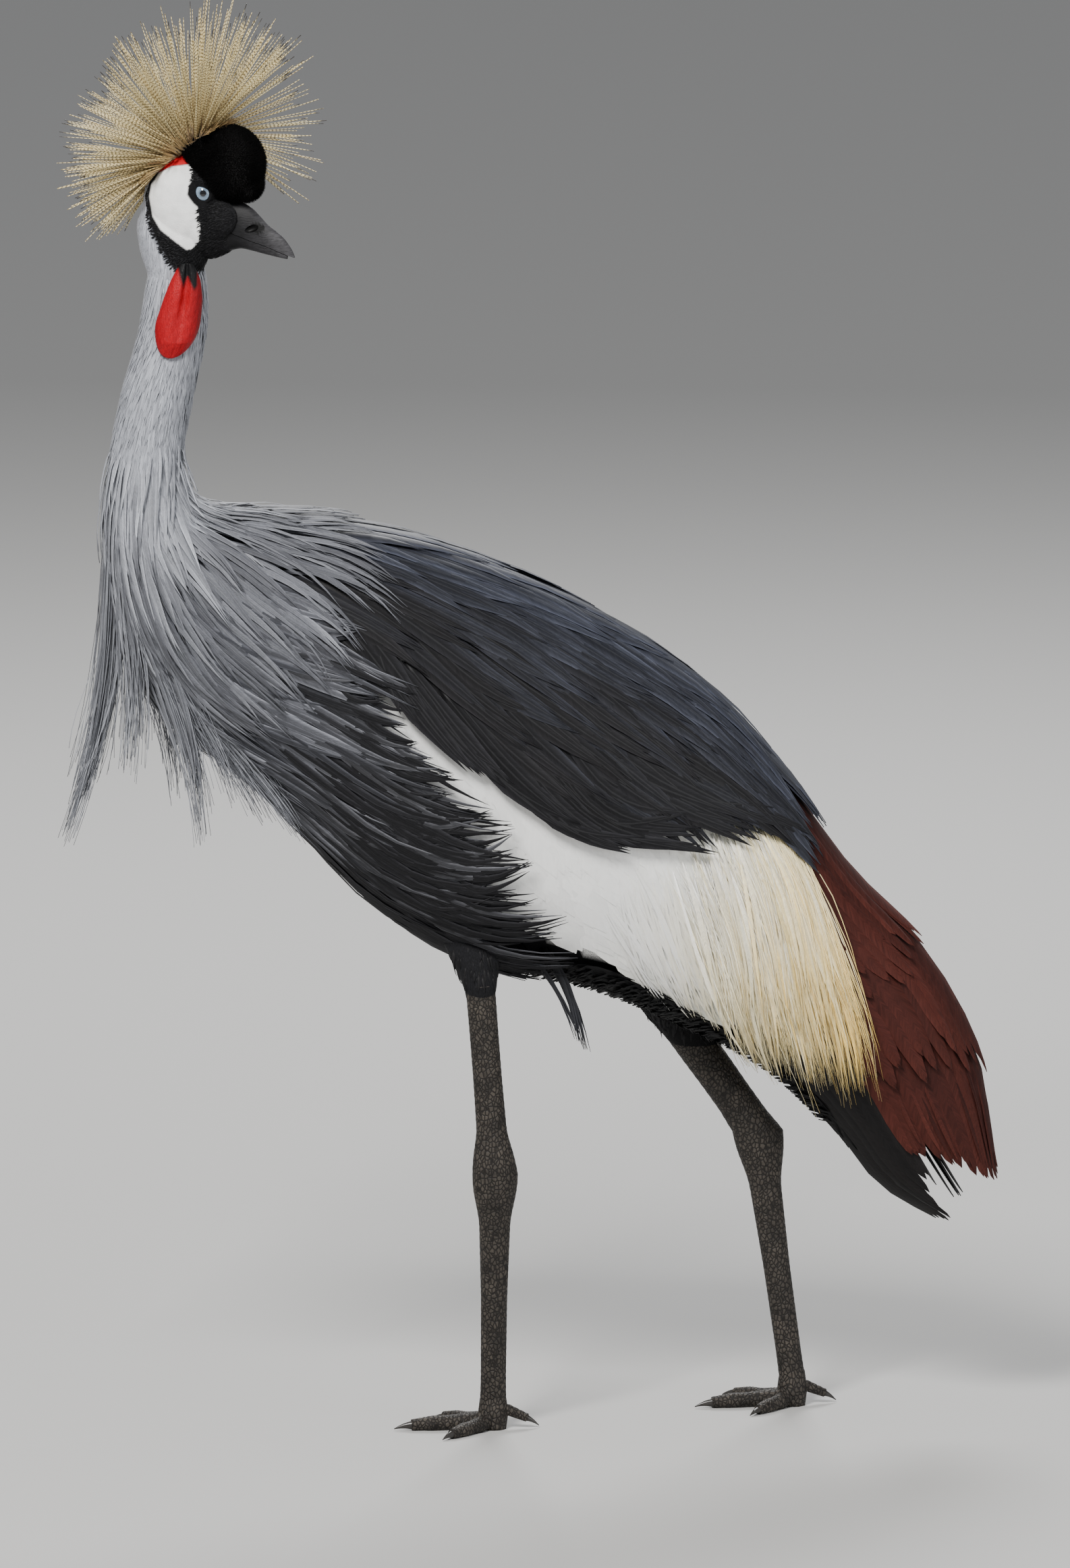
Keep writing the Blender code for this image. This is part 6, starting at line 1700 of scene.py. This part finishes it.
# %% A node tree that sweeps bristles
def sweep_tree(material):
    """Inputs: Guides and Sides. The attribute thick of the guides is the half thickness."""
    tree = bpy.data.node_groups.new("sweep_bristles", "GeometryNodeTree")
    tree.interface.new_socket("Guides", in_out="INPUT", socket_type="NodeSocketGeometry")
    names = {"Sides": tree.interface.new_socket("Sides", in_out="INPUT", socket_type="NodeSocketInt").identifier}
    tree.interface.new_socket("Bristles", in_out="OUTPUT", socket_type="NodeSocketGeometry")
    start, end = tree.nodes.new("NodeGroupInput"), tree.nodes.new("NodeGroupOutput")
    lines = tree.nodes.new("GeometryNodeMeshToCurve")
    tree.links.new(start.outputs["Guides"], lines.inputs["Mesh"])
    thick = tree.nodes.new("GeometryNodeInputNamedAttribute")
    thick.data_type = "FLOAT"
    thick.inputs["Name"].default_value = "thick"
    ring = tree.nodes.new("GeometryNodeCurvePrimitiveCircle")
    ring.inputs["Radius"].default_value = 1.0
    tree.links.new(start.outputs["Sides"], ring.inputs["Resolution"])
    radius = tree.nodes.new("GeometryNodeSetCurveRadius")
    tree.links.new(lines.outputs["Curve"], radius.inputs["Curve"])
    tree.links.new(thick.outputs["Attribute"], radius.inputs["Radius"])
    sweep = tree.nodes.new("GeometryNodeCurveToMesh")
    tree.links.new(radius.outputs["Curve"], sweep.inputs["Curve"])
    tree.links.new(ring.outputs["Curve"], sweep.inputs["Profile Curve"])
    sweep.inputs["Fill Caps"].default_value = True
    if "Scale" in sweep.inputs:
        tree.links.new(thick.outputs["Attribute"], sweep.inputs["Scale"])
    real = tree.nodes.new("GeometryNodeRealizeInstances")
    tree.links.new(sweep.outputs["Mesh"], real.inputs["Geometry"])
    finish = tree.nodes.new("GeometryNodeSetMaterial")
    finish.inputs["Material"].default_value = material
    tree.links.new(real.outputs["Geometry"], finish.inputs["Geometry"])
    tree.links.new(finish.outputs["Geometry"], end.inputs["Bristles"])
    return tree, names


def bristle_material():
    material, tree, shader = new_material("crest_straw", 0.45, Specular_IOR_Level=0.4)
    tint, run = attribute(tree, "tint", "Fac"), attribute(tree, "run", "Fac")
    wave = calc(tree, "SINE", calc(tree, "ADD", calc(tree, "MULTIPLY", run, math.tau / 0.0034), calc(tree, "MULTIPLY", tint, 40.0)))
    body = mix(tree, tint, (0.60, 0.43, 0.13), (0.84, 0.71, 0.34))
    banded = mix(tree, spread(tree, wave, -0.75, 0.1, 0.0, 1.0), mix(tree, 0.75, body, (0.050, 0.030, 0.016)), mix(tree, 0.35, body, (0.92, 0.84, 0.60)))
    low = mix(tree, spread(tree, run, 0.004, 0.060, 0.55, 0.0), banded, (0.24, 0.150, 0.055))
    dark_tip = calc(tree, "MULTIPLY", spread(tree, attribute(tree, "share", "Fac"), 0.90, 0.97), spread(tree, tint, 0.55, 0.6))
    tree.links.new(mix(tree, dark_tip, low, (0.02, 0.014, 0.010)), shader.inputs["Base Color"])
    return material


CREST = bristle_material()
BRISTLE_ROWS = 9
paths, length, rng = bristle_paths(760, 70, BRISTLE_ROWS, 91)
share = np.linspace(0, 1, BRISTLE_ROWS)[None]
numbers = {"thick": (0.00060 - 0.00030 * share) * rng.uniform(0.75, 1.2, (len(paths), 1)), "run": share * length[:, None],
           "tint": rng.random((len(paths), 1)), "share": share}
holder = guides("bristle_guides", paths, numbers)
tree, names = sweep_tree(CREST)
crest_mesh = grown(holder, tree, names, {"Sides": 4}, "crest_bristles")
discard(holder)
patches_by_tuft(crest_mesh, BRISTLE_ROWS * 4, head_map)
crest_mesh.materials.clear()
crest = put("crest_bristles", crest_mesh, CREST)
ready(crest, "crest_bristle", "crest")
print("crest:", len(crest_mesh.polygons), "faces on", len(paths), "bristles")

# %% Down at the foot of the crest
count = 900
rng = np.random.default_rng(92)
lean, turn = rng.normal(0, 0.5, count), np.radians(rng.uniform(20, 235, count))
along_crest = np.clip((238 - np.degrees(turn)) / 205, 0, 1) * 0.9 + 0.05
start = CREST_BACK + (CREST_FRONT - CREST_BACK) * along_crest[:, None] + np.stack([np.zeros(count), 15 * MM * lean, -2.5 * MM * np.ones(count)], 1)
heading = np.stack([np.cos(turn) * np.cos(lean), np.sin(lean), np.sin(turn) * np.cos(lean)], axis=1)
s = np.linspace(0, 1, 4)[None, :, None]
paths = from_head(start[:, None] + heading[:, None] * s * rng.uniform(0.010, 0.026, count)[:, None, None])
facing = np.tile(unit(np.cross(heading, [0.1, 1, 0.2]) @ HEAD_AXES.T)[:, None], (1, 4, 1))
brown = blend((0.16, 0.085, 0.030), (0.42, 0.29, 0.12), rng.random(count))
down = coat("crest_down", paths, facing, lance(4, 0.7, 0.3, 0.9)[None] * np.full((count, 1), 0.0009), 0.0004, head_map(paths[:, 0]),
            shades(count, 4, brown, brown), GOLD_COAT, 0.1, rng)
ready(down, "crest_bristle")

# %% [markdown]
# ## Legs, feet and claws
# The bare legs are covered with small many-sided scales, drawn by a cell pattern that both tints
# and raises them. The ankle, which looks like a backward knee, is the widest part. The feet stand
# on three front toes with pads under each joint, and a short hind toe hangs behind.

# %% Scales
def leg_material():
    material, tree, shader = new_material("leg_scales", 0.6, Specular_IOR_Level=0.25)
    place = object_place(tree, (1, 1, 0.72))
    edge_of_scale = cells(tree, place, 330.0, "DISTANCE_TO_EDGE")
    raised_scale = spread(tree, edge_of_scale, 0.02, 0.22)
    blotch = noise(tree, object_place(tree), 60.0, 4.0, 0.6)
    scale_tone = mix(tree, spread(tree, blotch, 0.35, 0.68), (0.030, 0.026, 0.022), (0.078, 0.066, 0.054))
    tree.links.new(mix(tree, raised_scale, (0.009, 0.0075, 0.0065), scale_tone), shader.inputs["Base Color"])
    grain = noise(tree, object_place(tree), 2200.0, 2.0)
    raise_surface(tree, shader, calc(tree, "ADD", raised_scale, calc(tree, "MULTIPLY", grain, 0.25)), 0.75, 0.0007)
    return material


LEG = leg_material()
SHANK_SIZES = {
    "left": ((0.0126, 0.0108), (0.0123, 0.0102), (0.0123, 0.0102), (0.0130, 0.0104), (0.0174, 0.0130), (0.0198, 0.0138)),
    "right": ((0.0208, 0.0145), (0.0206, 0.0140), (0.0200, 0.0135), (0.0200, 0.0132), (0.0212, 0.0140), (0.0222, 0.0145)),
}
SHANK_SHARES = (0, 0.25, 0.5, 0.78, 0.9, 1.0)
TARSUS_SIZES = {
    "left": ((0.0198, 0.0138), (0.0188, 0.0134), (0.0134, 0.0106), (0.0112, 0.0092), (0.0108, 0.0092), (0.0112, 0.0100)),
    "right": ((0.0222, 0.0145), (0.0206, 0.0138), (0.0138, 0.0108), (0.0114, 0.0094), (0.0108, 0.0092), (0.0112, 0.0100)),
}
TARSUS_SHARES = (0, 0.07, 0.2, 0.55, 0.9, 1.0)


def leg_rings(end, rows=70, sides=40):
    hip, knee, ankle, heel = [np.array(p) for p in LEGS[end]]
    share = np.linspace(0, 1, rows)
    top = knee + unit(knee - ankle) * 0.005  # hidden in the thigh
    down_shank = top + (ankle - top) * share[:, None]
    down_tarsus = ankle + (heel - ankle) * share[:, None]
    path = np.vstack([down_shank[:-1], down_tarsus])
    sizes = np.vstack([np.stack([np.interp(share, SHANK_SHARES, column) for column in zip(*SHANK_SIZES[end])], 1)[:-1],
                       np.stack([np.interp(share, TARSUS_SHARES, column) for column in zip(*TARSUS_SIZES[end])], 1)])
    for _ in range(6):
        sizes[1:-1] = (sizes[:-2] + 2 * sizes[1:-1] + sizes[2:]) / 4
    rings = tube_rings(path, sizes, sides, level=True)
    fine = np.sin(path[:, 2] * 900)[:, None, None] * 0.00012
    return rings + (rings - path[:, None]) / np.maximum(np.linalg.norm(rings - path[:, None], axis=-1, keepdims=True), 1e-9) * fine


TOES = (("inner", -44, 0.052, 0.0130), ("middle", 0, 0.070, 0.0145), ("outer", 45, 0.058, 0.0130), ("hind", 176, 0.021, 0.0095))
TOE_TURN = {"left": 178.0, "right": 182.0}
CLAW_LENGTH = {"inner": 0.013, "middle": 0.015, "outer": 0.013, "hind": 0.011}
PAD_SHARES = (0.0, 0.20, 0.40, 0.54, 0.74, 0.86, 1.0)
PAD_BULGES = (0.55, 0.50, 0.52, 0.43, 0.47, 0.38, 0.32)


def toe_rings(heel, name, heading_deg, long, thick, rows=40, sides=24):
    ahead = np.array([math.cos(math.radians(heading_deg)), math.sin(math.radians(heading_deg)), 0])
    base = np.array([heel[0], heel[1], 0.0])
    if name == "hind":
        spots = np.array([base + [0, 0, 0.015], base + ahead * 0.012 + [0, 0, 0.016], base + ahead * (0.008 + long) + [0, 0, 0.0085]])
        path = smooth_steps(spots, rows, 4)
        sizes = smooth_steps([(thick * 0.55,) * 2, (thick * 0.5,) * 2, (thick * 0.36,) * 2], rows)
    else:
        low = thick * 0.40
        share = np.linspace(0, 1, rows)
        height = np.interp(share, PAD_SHARES, (0.0095, 0.0070, low, low, low * 0.92, low * 0.9, low * 0.8))
        path = base + ahead * (long * share)[:, None] + np.stack([0 * share, 0 * share, height], 1)
        bulge = np.interp(share, PAD_SHARES, PAD_BULGES)
        for _ in range(3):
            bulge[1:-1] = (bulge[:-2] + 2 * bulge[1:-1] + bulge[2:]) / 4
        sizes = np.repeat((thick * bulge)[:, None], 2, axis=1)
    rings = tube_rings(path, sizes, sides)
    scute = np.abs(np.sin(np.linspace(0, long / 0.0032 * math.pi, rows)))[:, None]
    above = np.clip((rings[..., 2] - path[:, None, 2]) / sizes[:, None, 0], 0, 1)
    rings[..., 2] = np.maximum(rings[..., 2] + above * scute * 0.0005, 0.0)
    return rings, path, sizes[-1, 0]


CLAW, tree, shader = new_material("claw_horn_finish", 0.3, Specular_IOR_Level=0.5)
grain = noise(tree, object_place(tree), 500.0, 2.0)
tree.links.new(mix(tree, grain, (0.012, 0.011, 0.010), (0.045, 0.040, 0.036)), shader.inputs["Base Color"])
for end in LEGS:
    heel = LEGS[end][3]
    leg = helper("leg_skin_" + end, *closed_loft(leg_rings(end)))
    ball = smooth_steps([np.array(heel) + [0, 0, 0.006], np.array([heel[0], heel[1], 0.014]), np.array([heel[0], heel[1], 0.0])], 12, 1)
    cut_or_join(leg, helper("ball", *closed_loft(tube_rings(ball, smooth_steps([(0.0108, 0.0096), (0.0130, 0.0125), (0.0112, 0.0112)], 12, 1), 32, level=True))), "UNION")
    claws = []
    for name, angle, long, thick in TOES:
        turn = TOE_TURN[end] + angle * (1 if end == "left" else -1)
        rings, path, last = toe_rings(heel, name, turn, long, thick)
        cut_or_join(leg, helper("toe", *closed_loft(rings)), "UNION")
        ahead = unit(path[-1] - path[-2])
        share = np.linspace(0, 1, 14)
        line = path[-1] - ahead * 0.001 + ahead * (CLAW_LENGTH[name] + 0.001) * share[:, None]
        line[:, 2] -= 0.0032 * np.clip(share - 0.2, 0, 1) ** 2
        size = np.maximum(0.0004, last * 0.84 * (1 - share * 0.9))
        rings = tube_rings(line, np.stack([size, size * 0.85], 1), 16)
        rings[..., 2] = np.maximum(rings[..., 2], 0.0)
        claws.append(closed_loft(rings))
    leg.data.materials.clear()
    leg.data.materials.append(LEG)
    leg.data.polygons.foreach_set("use_smooth", np.ones(len(leg.data.polygons), bool))
    ready(leg, "leg_scale", "shank_" + end, "tarsus_" + end, "foot_" + end)
    claw = joined("claws_" + end, claws)
    claw.data.materials.append(CLAW)
    ready(claw, "claw_horn", *[f"claw_{name}_{end}" for name, *_ in TOES])
    print("leg", end, len(leg.data.polygons), "faces")

# %% [markdown]
# ## Stage
# A plain pale floor and soft lamps, as in a museum's photo studio. The camera is where the
# photographer stood: ten degrees towards the bird's front and ten degrees above level, far away,
# so that the long lens flattens the view as it did in the photo.

# %% Floor, lamps and camera
floor_mesh = bpy.data.meshes.new("studio_floor")
floor_mesh.from_pydata([(-30, -30, 0), (30, -30, 0), (30, 30, 0), (-30, 30, 0)], [], [(0, 1, 2, 3)])
floor_finish, tree, shader = new_material("studio_floor", 0.8)
shader.inputs["Base Color"].default_value = (0.46, 0.455, 0.445, 1)
floor = put("studio_floor", floor_mesh, floor_finish)

TARGET = Vector((0, 0, 0.554))
CAMERA_TURN, CAMERA_RISE, CAMERA_AWAY = math.radians(-10.0), math.radians(10.0), 24.0
toward = Vector((math.sin(CAMERA_TURN) * math.cos(CAMERA_RISE), -math.cos(CAMERA_TURN) * math.cos(CAMERA_RISE), math.sin(CAMERA_RISE)))
camera_data = bpy.data.cameras.new("camera")
camera = bpy.data.objects.new("camera", camera_data)
bpy.context.scene.collection.objects.link(camera)
camera.location = TARGET + toward * CAMERA_AWAY
camera.rotation_euler = toward.to_track_quat("Z", "Y").to_euler()
camera_data.lens = 36 * CAMERA_AWAY / 1.328  # the frame is 1.328 m tall at the bird
camera_data.clip_end = 100
bpy.context.scene.camera = camera


def area_light(name, place, size, power, colour=(1, 1, 1)):
    data = bpy.data.lights.new(name, "AREA")
    data.size, data.energy, data.color = size, power, colour
    lamp = bpy.data.objects.new(name, data)
    bpy.context.scene.collection.objects.link(lamp)
    lamp.location = place
    lamp.rotation_euler = (Vector(place) - TARGET).to_track_quat("Z", "Y").to_euler()


area_light("key", (-2.0, -3.2, 4.2), 1.4, 390, (1.0, 0.985, 0.96))
area_light("fill", (2.8, -3.4, 1.6), 2.4, 60, (0.97, 0.985, 1.0))
area_light("rim", (0.8, 3.2, 3.0), 1.6, 150)
world = bpy.data.worlds.new("studio")
world.use_nodes = True
world.node_tree.nodes["Background"].inputs["Color"].default_value = (0.82, 0.84, 0.87, 1)
world.node_tree.nodes["Background"].inputs["Strength"].default_value = 0.42
bpy.context.scene.world = world
